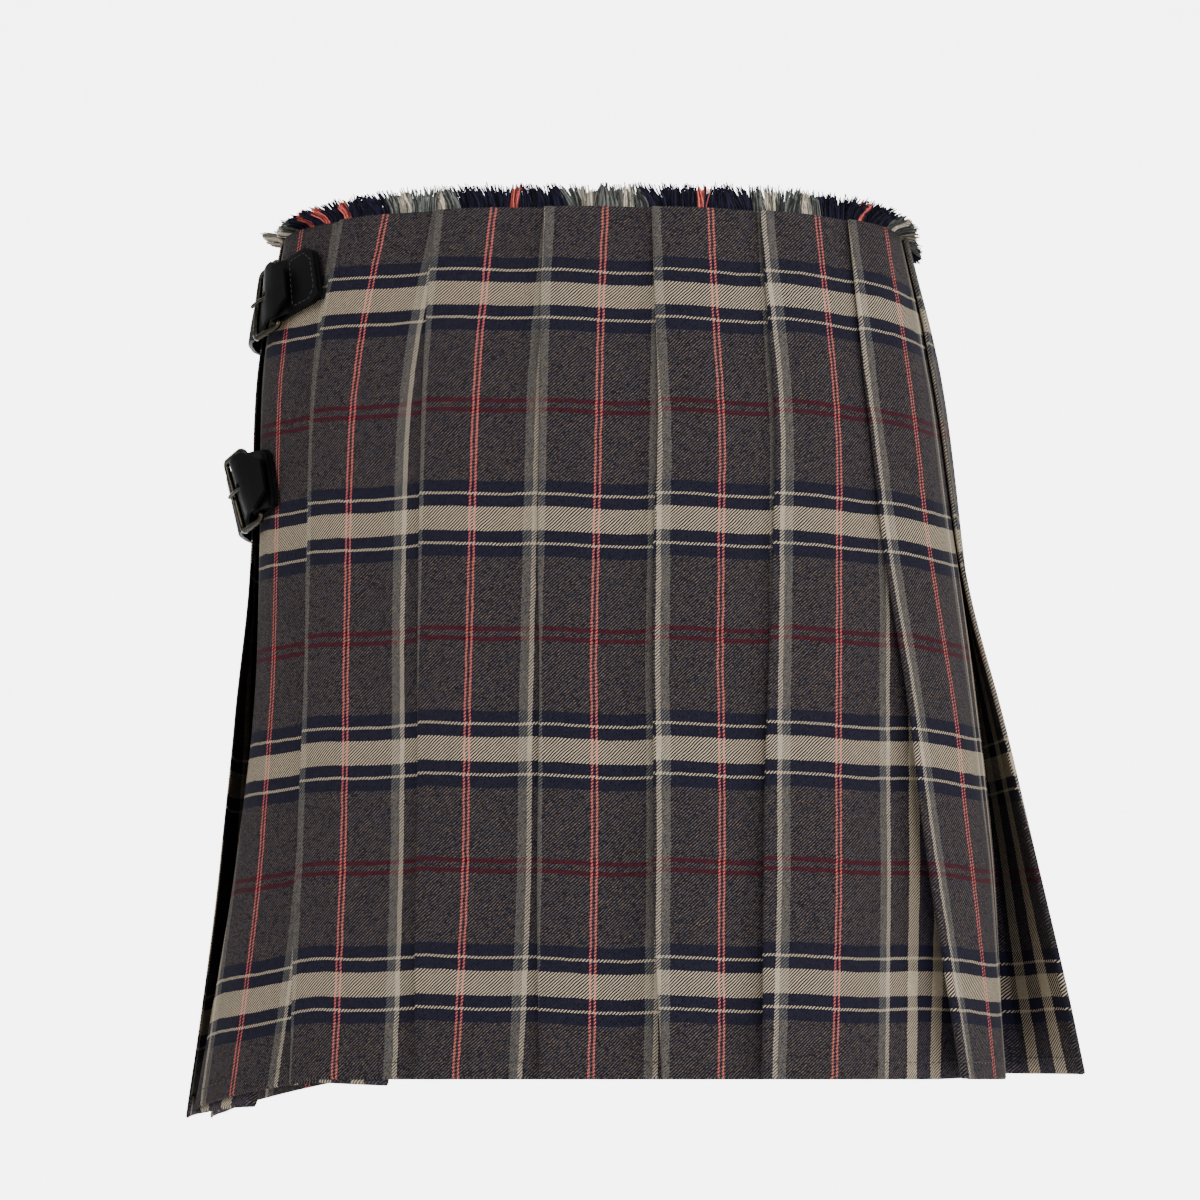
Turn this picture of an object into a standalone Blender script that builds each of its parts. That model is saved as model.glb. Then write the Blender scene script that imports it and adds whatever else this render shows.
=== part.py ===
"""Mini kilt, worn and hollow: a wrapped, knife-pleated wool skirt with two strap fastenings.

Metres, +Z up. The origin is the middle of the waist opening, level with the cloth's top edge.
The pleated back looks towards -Y and the plain aprons lie at +Y. The wearer's left is at -X.

Every cross-section is a path round an oval. A place on the cloth is given by
  arc     distance round the oval from the middle of the back, positive towards +X
  offset  distance outside the oval
  drop    distance down the cloth from the waist edge
all in millimetres in the tables below.
"""

import math

import bmesh
import bpy
import numpy as np
from mathutils import Vector

MM = 0.001

# Cloth
CLOTH_LENGTH = 442.0  # waist edge to hem, along the cloth
BACK_HEIGHT = 435.0  # the same, measured straight down
WALL = 1.1
TAKE_UP = 176.0  # cloth used by one pleat: its face and both hidden layers
LAYER = 1.7  # spacing of the pressed layers in the stitched fell
OVAL_POWER = 2.25
ROWS = (0.0, 20.0, 60.0, 105.0, 145.0, 180.0, 225.0, 275.0, 325.0, 375.0, 415.0, 442.0)

# The oval that the pleat faces lie on: height below the waist, middle, half width, depth back and front
OVALS = np.array(
    [
        # below, middle, half_width, back, front
        (-20.0, -2.0, 159.5, 104.5, 102.0),
        (0.0, -1.7, 163.2, 108.0, 104.0),
        (69.0, 0.5, 176.9, 122.0, 112.0),
        (157.0, 5.4, 183.4, 132.0, 120.0),
        (238.0, 9.2, 189.8, 138.0, 127.0),
        (316.0, 9.8, 198.6, 145.0, 134.0),
        (395.0, 7.2, 206.0, 152.0, 140.0),
        (435.0, 5.2, 210.0, 155.0, 143.0),
        (470.0, 4.2, 213.0, 157.0, 145.0),
    ]
)

# Outer fold edges of the nine knife pleats, from the wearer's left round the back to the right:
# the arc of each fold at six drops
FOLD_DROPS = (0.0, 100.0, 180.0, 250.0, 330.0, 442.0)
FOLD_ARCS = np.array(
    [
        # waist, 100, fell, 250, 330, hem
        (-207.0, -218.0, -225.0, -223.0, -231.0, -251.0),
        (-138.0, -158.0, -166.0, -170.0, -171.0, -165.0),
        (-81.0, -91.0, -97.0, -100.0, -100.0, -95.0),
        (-25.0, -31.0, -36.0, -38.0, -39.0, -33.0),
        (29.0, 28.0, 21.0, 17.5, 17.5, 26.0),
        (85.0, 87.0, 81.0, 75.0, 72.0, 75.0),
        (137.0, 141.0, 145.0, 151.5, 159.0, 178.5),
        (198.0, 212.0, 226.0, 240.0, 256.0, 279.0),
        (254.0, 272.0, 288.0, 304.0, 322.0, 350.0),
    ]
)

# How each pleat hangs below the fell: spacing of its layers at the hem, how far its fold edge
# stands out at the hem, how far that reaches along the face, and how much lower its hidden layers hang
PLEATS = np.array(
    [
        # spread, lift, reach, sag
        (3.6, 6.0, 24.0, 6.0),
        (2.8, 1.2, 18.0, 3.0),
        (2.4, 0.8, 16.0, 0.0),
        (2.3, 0.8, 16.0, -0.5),
        (2.4, 3.0, 14.0, -0.5),
        (2.6, 2.2, 16.0, -0.5),
        (3.6, 13.0, 26.0, -1.0),
        (3.6, 34.0, 42.0, 1.0),
        (3.0, 4.0, 30.0, 0.0),
    ]
)
STATIONS = (0.0, 1.0 / 3.0, 2.0 / 3.0)  # where the layers of a pleat have points, as shares of its depth
LIFT_DROPS = (0.0, 165.0, 200.0, 250.0, 330.0, 400.0, 442.0)
LIFT_SHARES = (0.0, 0.0, 0.05, 0.24, 0.49, 0.82, 1.0)

# The hem is lower at the wearer's left, where the apron edge hangs
HEM = np.array(
    [
        # arc, how much lower than elsewhere
        (-950.0, -4.0),
        (-580.0, -4.0),
        (-460.0, -3.0),
        (-420.0, 2.0),
        (-380.0, 9.0),
        (-330.0, 17.0),
        (-285.0, 20.0),
        (-240.0, 13.0),
        (-190.0, 5.0),
        (-150.0, 0.0),
        (250.0, 0.0),
        (280.0, -3.0),
        (320.0, -4.0),
        (600.0, -4.0),
    ]
)

# Free edges of the aprons, arc at six drops, and how far the over apron stands out there
EDGE_DROPS = (0.0, 100.0, 180.0, 250.0, 330.0, 442.0)
OVER_EDGE_ARCS = (-213.0, -226.0, -240.0, -249.0, -264.0, -284.0)
OVER_EDGE_STAND = (1.8, 2.4, 3.8, 8.0, 7.4, 8.0)
UNDER_EDGE_ARCS = (232.0, 240.0, 250.0, 262.0, 275.0, 292.0)
UNDER_INSIDE = 4.2  # the under apron inside the over apron
UNDER_TUCK = (10.5, 12.0, 14.0, 17.0, 20.0, 24.0)  # its end, inside the last pleats

# Fringe: a frayed strip behind the waist edge
FRINGE_LOCKS = 132
FRINGE_WALL = 1.0
FRINGE_DEPTH = 9.0
FRINGE_HEIGHT = 11.5
FRINGE_LOCK_SHARE = 0.6

# Leather fastenings
STRAP_WIDTH = 31.0
STRAP_WALL = 2.0
TAB_WALL = 1.6
BAR_RADIUS = 1.6
PRONG_RADIUS = 0.9
BUCKLE_HEIGHT = 41.0
BUCKLE_LENGTH = 21.0
CLEAR = 0.3
LOOP_CLEAR = 0.55  # round the heel bar
STRAP_RISE = math.radians(12.0)  # straps and tabs slant up towards the back
STRAP_LEVEL = math.radians(2.0)  # in front of the buckle
# name, arc and height of the heel bar, how far the buckle stands off, its lean per mm of height,
# and the length of its base tab
FASTENINGS = (
    ("upper", -183.0, -33.5, 0.3, 0.0, 33.0),
    ("lower", -205.0, -132.5, 4.5, 0.22, 13.5),
)

LEATHER = ("leather", (0.0052, 0.0056, 0.0060), 0.42, 0.0)
GUNMETAL = ("gunmetal", (0.130, 0.118, 0.100), 0.30, 1.0)
CLOTH = ("wool_twill", (0.048, 0.042, 0.042), 0.92, 0.0)
FRINGE = ("wool_yarn", (0.090, 0.080, 0.085), 0.95, 0.0)


def clear_scene():
    for thing in list(bpy.data.objects):
        bpy.data.objects.remove(thing, do_unlink=True)


def material(spec):
    name, colour, roughness, metallic = spec
    made = bpy.data.materials.get(name)
    if made is None:
        made = bpy.data.materials.new(name)
        made.use_nodes = True
        shader = made.node_tree.nodes["Principled BSDF"]
        shader.inputs["Base Color"].default_value = (*colour, 1.0)
        shader.inputs["Roughness"].default_value = roughness
        shader.inputs["Metallic"].default_value = metallic
    return made


def smooth(value, start, end):
    """0 before start, 1 after end, and an S-curve between."""
    share = min(max((value - start) / (end - start), 0.0), 1.0)
    return share * share * (3.0 - 2.0 * share)


def curve_through(x, xs, ys):
    """A smooth curve through the table's points, without overshoot between equal ones."""
    xs = np.asarray(xs, float)
    ys = np.asarray(ys, float)
    x = min(max(x, xs[0]), xs[-1])
    slopes = np.diff(ys) / np.diff(xs)
    tangents = np.concatenate([[slopes[0]], (slopes[:-1] + slopes[1:]) / 2.0, [slopes[-1]]])
    flat = np.concatenate([[False], slopes[:-1] * slopes[1:] <= 0.0, [False]])
    tangents[flat] = 0.0
    i = int(min(np.searchsorted(xs, x, side="right") - 1, len(xs) - 2))
    h = xs[i + 1] - xs[i]
    t = (x - xs[i]) / h
    return float(
        (2 * t**3 - 3 * t**2 + 1) * ys[i]
        + (t**3 - 2 * t**2 + t) * h * tangents[i]
        + (3 * t**2 - 2 * t**3) * ys[i + 1]
        + (t**3 - t**2) * h * tangents[i + 1]
    )


class Oval:
    """The body of the skirt at one height, walked by arc length."""

    known = {}

    def __init__(self, below):
        middle, half, back, front = (
            curve_through(below, OVALS[:, 0], OVALS[:, i]) for i in range(1, 5)
        )
        turn = np.linspace(-2.0 * math.pi, 2.0 * math.pi, 2881)
        depth = np.where(np.cos(turn) > 0.0, back, front)
        wide = np.abs(np.sin(turn) / half) ** OVAL_POWER
        deep = np.abs(np.cos(turn) / depth) ** OVAL_POWER
        radius = (wide + deep) ** (-1.0 / OVAL_POWER)
        self.x = middle + radius * np.sin(turn)
        self.y = -radius * np.cos(turn)
        steps = np.hypot(np.diff(self.x), np.diff(self.y))
        self.arc = np.concatenate([[0.0], np.cumsum(steps)])
        self.arc -= self.arc[1440]
        self.round = self.arc[2160] - self.arc[720]
        run = np.hypot(np.gradient(self.x), np.gradient(self.y))
        self.nx = np.gradient(self.y) / run
        self.ny = -np.gradient(self.x) / run

    @classmethod
    def at(cls, below):
        key = round(below, 2)
        if key not in cls.known:
            cls.known[key] = cls(key)
        return cls.known[key]

    def place(self, arc, offset):
        x, y, nx, ny = (np.interp(arc, self.arc, v) for v in (self.x, self.y, self.nx, self.ny))
        size = math.hypot(nx, ny)
        return float(x + nx / size * offset), float(y + ny / size * offset)


def on_body(arc, offset, z):
    """World point at a height, for what is laid over the cloth."""
    x, y = Oval.at(-z).place(arc, offset)
    return x * MM, y * MM, z * MM


class Section:
    """The folded cloth's path at one drop below the waist."""

    def __init__(self, drop):
        self.drop = drop
        self.oval = Oval.at(BACK_HEIGHT * drop / CLOTH_LENGTH)
        self.fold = [curve_through(drop, FOLD_DROPS, row) for row in FOLD_ARCS]
        open_share = curve_through(drop, LIFT_DROPS, LIFT_SHARES)
        self.layer = [LAYER + (row[0] - LAYER) * smooth(drop, 170.0, 442.0) for row in PLEATS]
        self.lift = [row[1] * open_share for row in PLEATS]
        self.reach = [row[2] for row in PLEATS]
        self.sag = [row[3] for row in PLEATS]
        last = len(self.fold) - 1
        self.pitch = [self.fold[k + 1] - self.fold[k] for k in range(last)]
        self.pitch.append(self.pitch[-1])
        self.depth = []
        for k in range(last + 1):
            before = self.pitch[max(k - 1, 0)]
            extra = self.lift[k] ** 2 / (4.0 * self.reach[k])
            depth = (TAKE_UP - (before + self.pitch[k]) / 2.0) / 2.0 - extra
            self.depth.append(min(depth, self.pitch[k] - 5.0))

    def raised(self, k, arc):
        """How far a fold edge that swings out carries its two layers off the body."""
        return self.lift[k] * math.exp(-max(arc - self.fold[k], 0.0) / self.reach[k])

    def rest(self, k, arc):
        """Offset of the face of pleat k without its own swing, also where it runs on under the next."""
        last = len(self.fold) - 1
        if k < last and arc > self.fold[k + 1]:
            return self.rest(k + 1, arc) - 2.0 * self.layer[k + 1]
        if k == last:
            return 0.0
        share = (arc - self.fold[k]) / self.pitch[k]
        return -2.0 * self.layer[k + 1] * smooth(share, 0.3, 0.97)

    def face(self, k, arc):
        return self.rest(k, arc) + self.raised(k, arc)

    def middle(self, k, arc):
        return self.face(k, arc) - self.layer[k]

    def inner(self, k, arc):
        """The cloth of the pleat before, under pleat k."""
        return self.rest(k, arc) - 2.0 * self.layer[k]

    def outer_fold(self, k):
        """From the middle layer round the visible fold edge to the face."""
        radius = self.layer[k] / 2.0
        centre = self.face(k, self.fold[k]) - radius
        turns = [math.radians(a) for a in (270.0, 210.0, 150.0, 90.0)]
        return [
            (self.fold[k] + radius * math.cos(a), centre + radius * math.sin(a), self.sag[k] * 0.3)
            for a in turns
        ]

    def inner_fold(self, k):
        """From the cloth of the pleat before round the hidden fold to the middle layer."""
        arc = self.fold[k] + self.depth[k]
        low = self.inner(k, arc)
        high = self.middle(k, arc)
        radius = (high - low) / 2.0
        bulge = min(radius, 2.5)
        turns = [math.radians(a) for a in (-90.0, 0.0, 90.0)]
        return [
            (arc + bulge * math.cos(a), (low + high) / 2.0 + radius * math.sin(a), self.sag[k])
            for a in turns
        ]

    def under(self, k, share, shift=0.0):
        """The inner layer under pleat k, at a share of the pleat's depth."""
        arc = self.fold[k] + share * self.depth[k] + shift
        return (arc, self.inner(k, arc), self.sag[k] * share)

    def hidden(self, k, start=0.0):
        """Under pleat k: its inner layer from a share of its depth, hidden fold, middle, fold edge.

        All three layers have their points at the same arcs, so that they stay apart where they curve.
        """
        path = [self.under(k, share) for share in STATIONS if share >= start]
        path += self.inner_fold(k)
        for share in STATIONS[:0:-1]:
            arc = self.fold[k] + share * self.depth[k]
            path.append((arc, self.middle(k, arc), self.sag[k] * (0.3 + 0.7 * share)))
        return path + self.outer_fold(k)

    def visible(self, k):
        """The face of pleat k up to where the next fold edge covers it."""
        deep = self.depth[k]
        beyond = self.pitch[k] - deep
        path = []
        stations = [share * deep for share in STATIONS[1:]]
        stations += [deep, deep + beyond / 2.0, self.pitch[k] - 1.7]
        for along in stations:
            arc = self.fold[k] + along
            path.append((arc, self.face(k, arc), 0.0))
        return path

    def world(self, arc, offset, sag):
        """World point of the cloth at this drop."""
        share = self.drop / CLOTH_LENGTH
        wrap = arc
        if wrap > 600.0:
            wrap -= self.oval.round
        lower = float(np.interp(wrap, HEM[:, 0], HEM[:, 1])) * share**2 + sag * share**4
        x, y = self.oval.place(arc, offset)
        return x * MM, y * MM, -(BACK_HEIGHT * share + lower) * MM


def pleated_path(section):
    """The pleated back, between joins hidden under its first and last pleats."""
    last = len(section.fold) - 1
    path = [section.under(0, STATIONS[1], CLEAR)] + section.hidden(0, start=0.6)
    for k in range(last):
        path += section.visible(k)
        if k < last - 1:
            path += section.hidden(k + 1)
    path += [section.under(last, share) for share in STATIONS[:2]]
    return path


def apron_out(drop, round_, arc):
    """How far the over apron stands out as it nears its free edge."""
    end = round_ + curve_through(drop, EDGE_DROPS, OVER_EDGE_ARCS)
    return curve_through(drop, EDGE_DROPS, OVER_EDGE_STAND) * smooth(arc, end - 95.0, end - 8.0)


def over_apron_path(section):
    """From the hidden join under the last pleat, round the front, to the free edge at the left."""
    last = len(section.fold) - 1
    end = section.oval.round + curve_through(section.drop, EDGE_DROPS, OVER_EDGE_ARCS)
    path = [section.under(last, STATIONS[1], CLEAR)] + section.hidden(last, start=0.6)
    path += section.visible(last)[:3]
    start = section.fold[last] + section.depth[last]
    steps = 28
    for i in range(1, steps + 1):
        share = i / steps
        arc = start + share * (end - start)
        out = apron_out(section.drop, section.oval.round, arc)
        path.append((arc, section.face(last, arc) + out, 0.0))
    return path


def under_offset(section, arc):
    """Offset of the under apron, which slips inside the over apron and the last pleats."""
    back = section.fold[0]
    tuck = curve_through(section.drop, EDGE_DROPS, UNDER_TUCK)
    hip = section.fold[-1] + section.depth[-1] - section.oval.round
    level = -UNDER_INSIDE
    level += (UNDER_INSIDE - 2.0 * section.layer[0]) * smooth(arc, back - 40.0, back - 4.0)
    level -= (tuck - UNDER_INSIDE) * (1.0 - smooth(arc, hip + 8.0, hip + 80.0))
    return level


def under_apron_path(section):
    """From the free edge inside the wearer's right, round the front, to the join under the first pleat."""
    start = curve_through(section.drop, EDGE_DROPS, UNDER_EDGE_ARCS) - section.oval.round
    end = section.fold[0]
    steps = 28
    path = []
    for i in range(steps):
        arc = start + i / steps * (end - start)
        path.append((arc, under_offset(section, arc), 0.0))
    path += [section.under(0, share) for share in STATIONS[:2]]
    return path


def add_object(name, mesh, spec, smooth_angle=None):
    thing = bpy.data.objects.new(name, mesh)
    bpy.context.scene.collection.objects.link(thing)
    if mesh.materials:
        mesh.materials[0] = material(spec)
    else:
        mesh.materials.append(material(spec))
    if smooth_angle is not None:
        mesh.shade_smooth()
        mesh.set_sharp_from_angle(angle=math.radians(smooth_angle))
    return thing


def grid_object(name, rows, spec, thickness, smooth_angle=50.0):
    """A sheet of rows of points, given its thickness by a Solidify modifier."""
    down = len(rows)
    across = len(rows[0])
    bm = bmesh.new()
    bmesh.ops.create_grid(bm, x_segments=across - 1, y_segments=down - 1, size=1.0)
    bm.verts.ensure_lookup_table()
    order = sorted(bm.verts, key=lambda v: (round(v.co.y, 5), round(v.co.x, 5)))
    for index, vert in enumerate(order):
        vert.co = rows[index // across][index % across]
    mesh = bpy.data.meshes.new(name)
    bm.to_mesh(mesh)
    bm.free()
    thing = add_object(name, mesh, spec, smooth_angle)
    wall = thing.modifiers.new("wall", "SOLIDIFY")
    wall.thickness = thickness * MM
    wall.offset = 0.0
    wall.use_even_offset = True
    wall.use_quality_normals = True
    split = thing.modifiers.new("same_diagonals", "TRIANGULATE")
    split.quad_method = "SHORTEST_DIAGONAL"
    return thing


def cloth_panel(name, path_of):
    sections = [Section(drop) for drop in ROWS]
    rows = [[section.world(*place) for place in path_of(section)] for section in sections]
    return grid_object(name, rows[::-1], CLOTH, WALL)


def fringe_offset(top, arc):
    """The frayed strip follows the inner side of the layers at the waist."""
    round_ = top.oval.round
    first = top.fold[0]
    last = top.fold[-1]
    pleats = 4.0 * LAYER + 1.3
    level = pleats
    if arc > 0.0:
        level += (2.05 - pleats) * smooth(arc, last + 50.0, last + 75.0)
        level -= apron_out(0.0, round_, arc)
    else:
        level += (UNDER_INSIDE + 1.8 - pleats) * (1.0 - smooth(arc, first - 45.0, first - 12.0))
        hip = last + top.depth[-1] - round_
        level += (UNDER_TUCK[0] - UNDER_INSIDE) * (1.0 - smooth(arc, hip + 8.0, hip + 80.0))
    return -level


def waist_fringe():
    """A strip on edge with a lock of yarn standing on every other part of its top."""
    top = Section(0.0)
    low = Section(FRINGE_DEPTH)
    start = UNDER_EDGE_ARCS[0] - top.oval.round + 3.0
    end = top.oval.round + OVER_EDGE_ARCS[0] - 3.0
    step = (end - start) / FRINGE_LOCKS
    arcs = []
    for i in range(FRINGE_LOCKS):
        arcs.append(start + i * step)
        arcs.append(start + (i + FRINGE_LOCK_SHARE) * step)
    arcs.append(end)
    rows = []
    for section, z in ((low, -FRINGE_DEPTH), (top, -0.3)):
        row = []
        for arc in arcs:
            x, y = section.oval.place(arc, fringe_offset(top, arc))
            row.append((x * MM, y * MM, z * MM))
        rows.append(row)
    strip = grid_object("waist_fringe", rows, FRINGE, FRINGE_WALL, None)
    bpy.context.view_layer.update()
    solid = bpy.data.meshes.new_from_object(strip.evaluated_get(bpy.context.evaluated_depsgraph_get()))
    strip.modifiers.clear()
    bm = bmesh.new()
    bm.from_mesh(solid)
    bm.normal_update()
    tops = [f for f in bm.faces if f.normal.z > 0.8]
    middles = [(start + (i + FRINGE_LOCK_SHARE / 2.0) * step) for i in range(FRINGE_LOCKS)]
    spots = [top.oval.place(arc, fringe_offset(top, arc)) for arc in middles]
    for i, (x, y) in enumerate(spots):
        spot = Vector((x * MM, y * MM))
        near = min(tops, key=lambda f: (f.calc_center_median().xy - spot).length)
        tops.remove(near)
        made = bmesh.ops.extrude_discrete_faces(bm, faces=[near])["faces"][0]
        uneven = 1.0 + 0.10 * math.sin(i * 2.4) + 0.07 * math.sin(i * 5.1 + 1.0)
        splay = 1.6 + 0.8 * math.sin(i * 1.7)
        ox, oy = top.oval.place(middles[i], fringe_offset(top, middles[i]) + splay)
        lean = Vector((ox - x, oy - y, FRINGE_HEIGHT * uneven)) * MM
        bmesh.ops.translate(bm, verts=made.verts, vec=lean)
        centre = made.calc_center_median()
        for vert in made.verts:
            vert.co = centre + (vert.co - centre) * 0.55
    bm.to_mesh(solid)
    bm.free()
    old = strip.data
    strip.data = solid
    bpy.data.meshes.remove(old)
    solid.name = "waist_fringe"
    if not solid.materials:
        solid.materials.append(material(FRINGE))
    return strip


class Fastening:
    """One strap and buckle. along runs from the heel bar towards the back, across runs upwards."""

    def __init__(self, name, arc, height, stand, lean, tab_length):
        self.name = name
        self.tab_length = tab_length
        self.arc = arc
        self.height = height
        self.stand = stand
        self.lean = lean

    def place(self, along, across, offset):
        near = max(along, -30.0)
        arc = self.arc + along * math.cos(STRAP_RISE) - across * math.sin(STRAP_RISE)
        z = self.height + near * math.sin(STRAP_RISE) + across * math.cos(STRAP_RISE)
        z += (along - near) * math.sin(STRAP_LEVEL)
        share = smooth(along, -76.0, -42.0) * (1.0 - smooth(along, -8.0, max(self.tab_length - 2.0, 16.0)))
        out = (self.stand + self.lean * across) * share
        return on_body(arc, offset + out, z)

    def ribbon(self, name, path, width, thickness):
        """A leather ribbon. path holds (along, offset, share of the half width)."""
        rows = []
        for lane in (-1.0, -0.5, 0.0, 0.5, 1.0):
            rows.append([self.place(a, lane * width / 2.0 * part, o) for a, o, part in path])
        return grid_object(name, rows, LEATHER, thickness, 35.0)

    def cut(self, thing, name, along, across, offset, size, sides):
        """Cut an oblong hole through a ribbon, square to it."""
        length, width, depth = size
        bm = bmesh.new()
        bmesh.ops.create_circle(bm, cap_ends=True, radius=width / 2.0, segments=sides)
        for vert in bm.verts:
            vert.co.x += math.copysign((length - width) / 2.0, vert.co.x)
        bmesh.ops.translate(bm, verts=bm.verts, vec=(0.0, 0.0, -depth / 2.0))
        made = bmesh.ops.extrude_face_region(bm, geom=bm.faces[:])["geom"]
        lifted = [g for g in made if isinstance(g, bmesh.types.BMVert)]
        bmesh.ops.translate(bm, verts=lifted, vec=(0.0, 0.0, depth))
        for vert in bm.verts:
            x, y, z = vert.co
            vert.co = self.place(along + x, across + y, offset + z)
        bmesh.ops.recalc_face_normals(bm, faces=bm.faces)
        if bm.calc_volume(signed=True) < 0.0:
            bmesh.ops.reverse_faces(bm, faces=bm.faces)
        mesh = bpy.data.meshes.new(name)
        bm.to_mesh(mesh)
        bm.free()
        tool = bpy.data.objects.new(name, mesh)
        bpy.context.scene.collection.objects.link(tool)
        tool.hide_render = True
        tool.display_type = "WIRE"
        tool.hide_set(True)
        slot = thing.modifiers.new(name, "BOOLEAN")
        slot.operation = "DIFFERENCE"
        slot.solver = "EXACT"
        slot.object = tool

    def wire(self, name, points, radius, closed, resolution):
        curve = bpy.data.curves.new(name, "CURVE")
        curve.dimensions = "3D"
        curve.bevel_depth = radius * MM
        curve.bevel_resolution = resolution
        curve.use_fill_caps = not closed
        spline = curve.splines.new("POLY")
        spline.points.add(len(points) - 1)
        for point, place in zip(spline.points, points, strict=True):
            point.co = (*place, 1.0)
        spline.use_cyclic_u = closed
        spline.use_smooth = True
        curve.materials.append(material(GUNMETAL))
        thing = bpy.data.objects.new(name, curve)
        bpy.context.scene.collection.objects.link(thing)
        return thing

    def base_tab(self):
        """Doubled leather, stitched to the pleats and folded round the heel bar."""
        low = 1.85
        turn = BAR_RADIUS + LOOP_CLEAR + TAB_WALL / 2.0
        high = low + 2.0 * turn
        closed = low + TAB_WALL + CLEAR
        end = self.tab_length
        straight = 0.82 * end
        stations = [straight - (straight - 9.5) * share for share in (0.0, 0.5, 1.0)]
        path = [(end, low, 0.62)] + [(along, low, 1.0) for along in (*stations, 1.5)]
        for degrees in (-90.0, -135.0, -180.0, -225.0, -270.0):
            angle = math.radians(degrees)
            path.append((turn * math.cos(angle), low + turn + turn * math.sin(angle), 1.0))
        path += [(3.0, high - 0.2, 1.0), (6.5, (high + closed) / 2.0 + 0.4, 1.0)]
        path += [(along, closed, 1.0) for along in stations[::-1]]
        path.append((end - 0.6, closed, 0.66))
        tab = self.ribbon(self.name + "_base_tab", path, STRAP_WIDTH, TAB_WALL)
        self.cut(tab, self.name + "_tab_slot", -0.6, 0.0, low + turn, (9.0, 3.6, 12.0), 8)
        return tab

    def bars(self):
        heel = 1.85 + BAR_RADIUS + LOOP_CLEAR + TAB_WALL / 2.0
        return heel, heel + 3.7

    def strap(self):
        """Comes off the over apron, under the outer bar, over the prong, with its free end at the back."""
        heel, outer = self.bars()
        under = outer - BAR_RADIUS - CLEAR - STRAP_WALL / 2.0
        over = heel + 5.6
        drop = STRAP_WIDTH / 2.0 - self.height
        round_ = Oval.at(drop).round
        on_cloth = WALL / 2.0 + CLEAR + STRAP_WALL / 2.0 + 0.25
        path = []
        for step in range(7):
            along = -112.0 + 7.0 * step
            out = apron_out(drop, round_, round_ + self.arc + along + 6.0)
            path.append((along, on_cloth + out, 0.8 if step == 0 else 1.0))
        path += [
            (-61.0, on_cloth + 4.0, 1.0),
            (-54.0, under + 1.0, 1.0),
            (-47.0, under + 1.8, 1.0),
            (-37.0, under + 2.6, 1.0),
            (-29.0, under + 1.6, 1.0),
            (-BUCKLE_LENGTH, under, 1.0),
            (-12.0, under + (over - under) * 0.43, 1.0),
            (0.0, over, 1.0),
            (5.5, over + 0.1, 1.0),
            (10.0, over - 0.6, 0.77),
            (14.5, over - 1.7, 0.54),
        ]
        strap = self.ribbon(self.name + "_strap", path, STRAP_WIDTH, STRAP_WALL)
        self.cut(strap, self.name + "_prong_hole", -8.0, 0.0, under + 2.8, (11.6, 4.4, 9.0), 8)
        for i, along in enumerate((-34.0, -52.0)):
            self.cut(strap, f"{self.name}_spare_hole_{i}", along, 0.0, under + 2.0, (4.0, 4.0, 14.0), 8)
        return strap

    def buckle(self):
        """A rectangular wire frame: the heel bar in the tab's fold, the outer bar over the strap."""
        heel, outer = self.bars()
        half = BUCKLE_HEIGHT / 2.0 - BAR_RADIUS
        bend = 2.8
        points = []
        far = -BUCKLE_LENGTH
        corners = ((0.0, -1.0, 0.0), (0.0, 1.0, 90.0), (far, 1.0, 180.0), (far, -1.0, 270.0))
        for along, side, first in corners:
            inward = -1.0 if along == 0.0 else 1.0
            start = first - 90.0
            if (side > 0.0) == (along == 0.0):
                for c in (-8.0, 0.0, 8.0):
                    points.append(self.place(along, c * side, heel if along == 0.0 else outer))
            for k in range(4):
                angle = math.radians(start + 30.0 * k)
                a = along + inward * bend + bend * math.cos(angle)
                c = side * (half - bend) + bend * math.sin(angle)
                share = min(max(-a / BUCKLE_LENGTH, 0.0), 1.0)
                points.append(self.place(a, c, heel + (outer - heel) * share))
        return self.wire(self.name + "_buckle_frame", points, BAR_RADIUS, True, 2)

    def prong(self):
        heel, outer = self.bars()
        turn = BAR_RADIUS + CLEAR + PRONG_RADIUS
        tip = outer + BAR_RADIUS + CLEAR + PRONG_RADIUS
        points = []
        for degrees in (-75.0, -45.0, -10.0, 25.0, 60.0, 90.0, 112.0):
            angle = math.radians(degrees)
            points.append((turn * math.cos(angle), heel + turn * math.sin(angle)))
        points += [(-4.0, heel + 2.8), (-7.6, heel + 3.8), (-11.0, heel + 4.9), (-15.5, tip - 0.7)]
        points += [(-18.5, tip), (-BUCKLE_LENGTH, tip + 0.1), (-BUCKLE_LENGTH - 3.4, tip - 0.1)]
        places = [self.place(a, 0.0, o) for a, o in points]
        return self.wire(self.name + "_prong", places, PRONG_RADIUS, False, 2)

    def build(self):
        self.base_tab()
        self.strap()
        self.buckle()
        self.prong()


def main():
    clear_scene()
    cloth_panel("pleated_back", pleated_path)
    cloth_panel("over_apron", over_apron_path)
    cloth_panel("under_apron", under_apron_path)
    waist_fringe()
    for spec in FASTENINGS:
        Fastening(*spec).build()


main()
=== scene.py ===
"""Dress a worn, hollow mini kilt: tartan cloth, frayed waist edge, stitching, leather fastenings.

Metres, +Z up. The pleated back looks towards -Y and the plain aprons lie at +Y; the wearer's left,
where the kilt fastens, is at -X. The origin is the middle of the waist opening.

Every cross-section of the cloth is a path round an oval. A place on the cloth is given by
  arc     distance round the oval from the middle of the back, positive towards +X
  offset  distance outside the oval
  drop    distance down the cloth from the waist edge
all in millimetres in the tables below.
"""

import math

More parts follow.
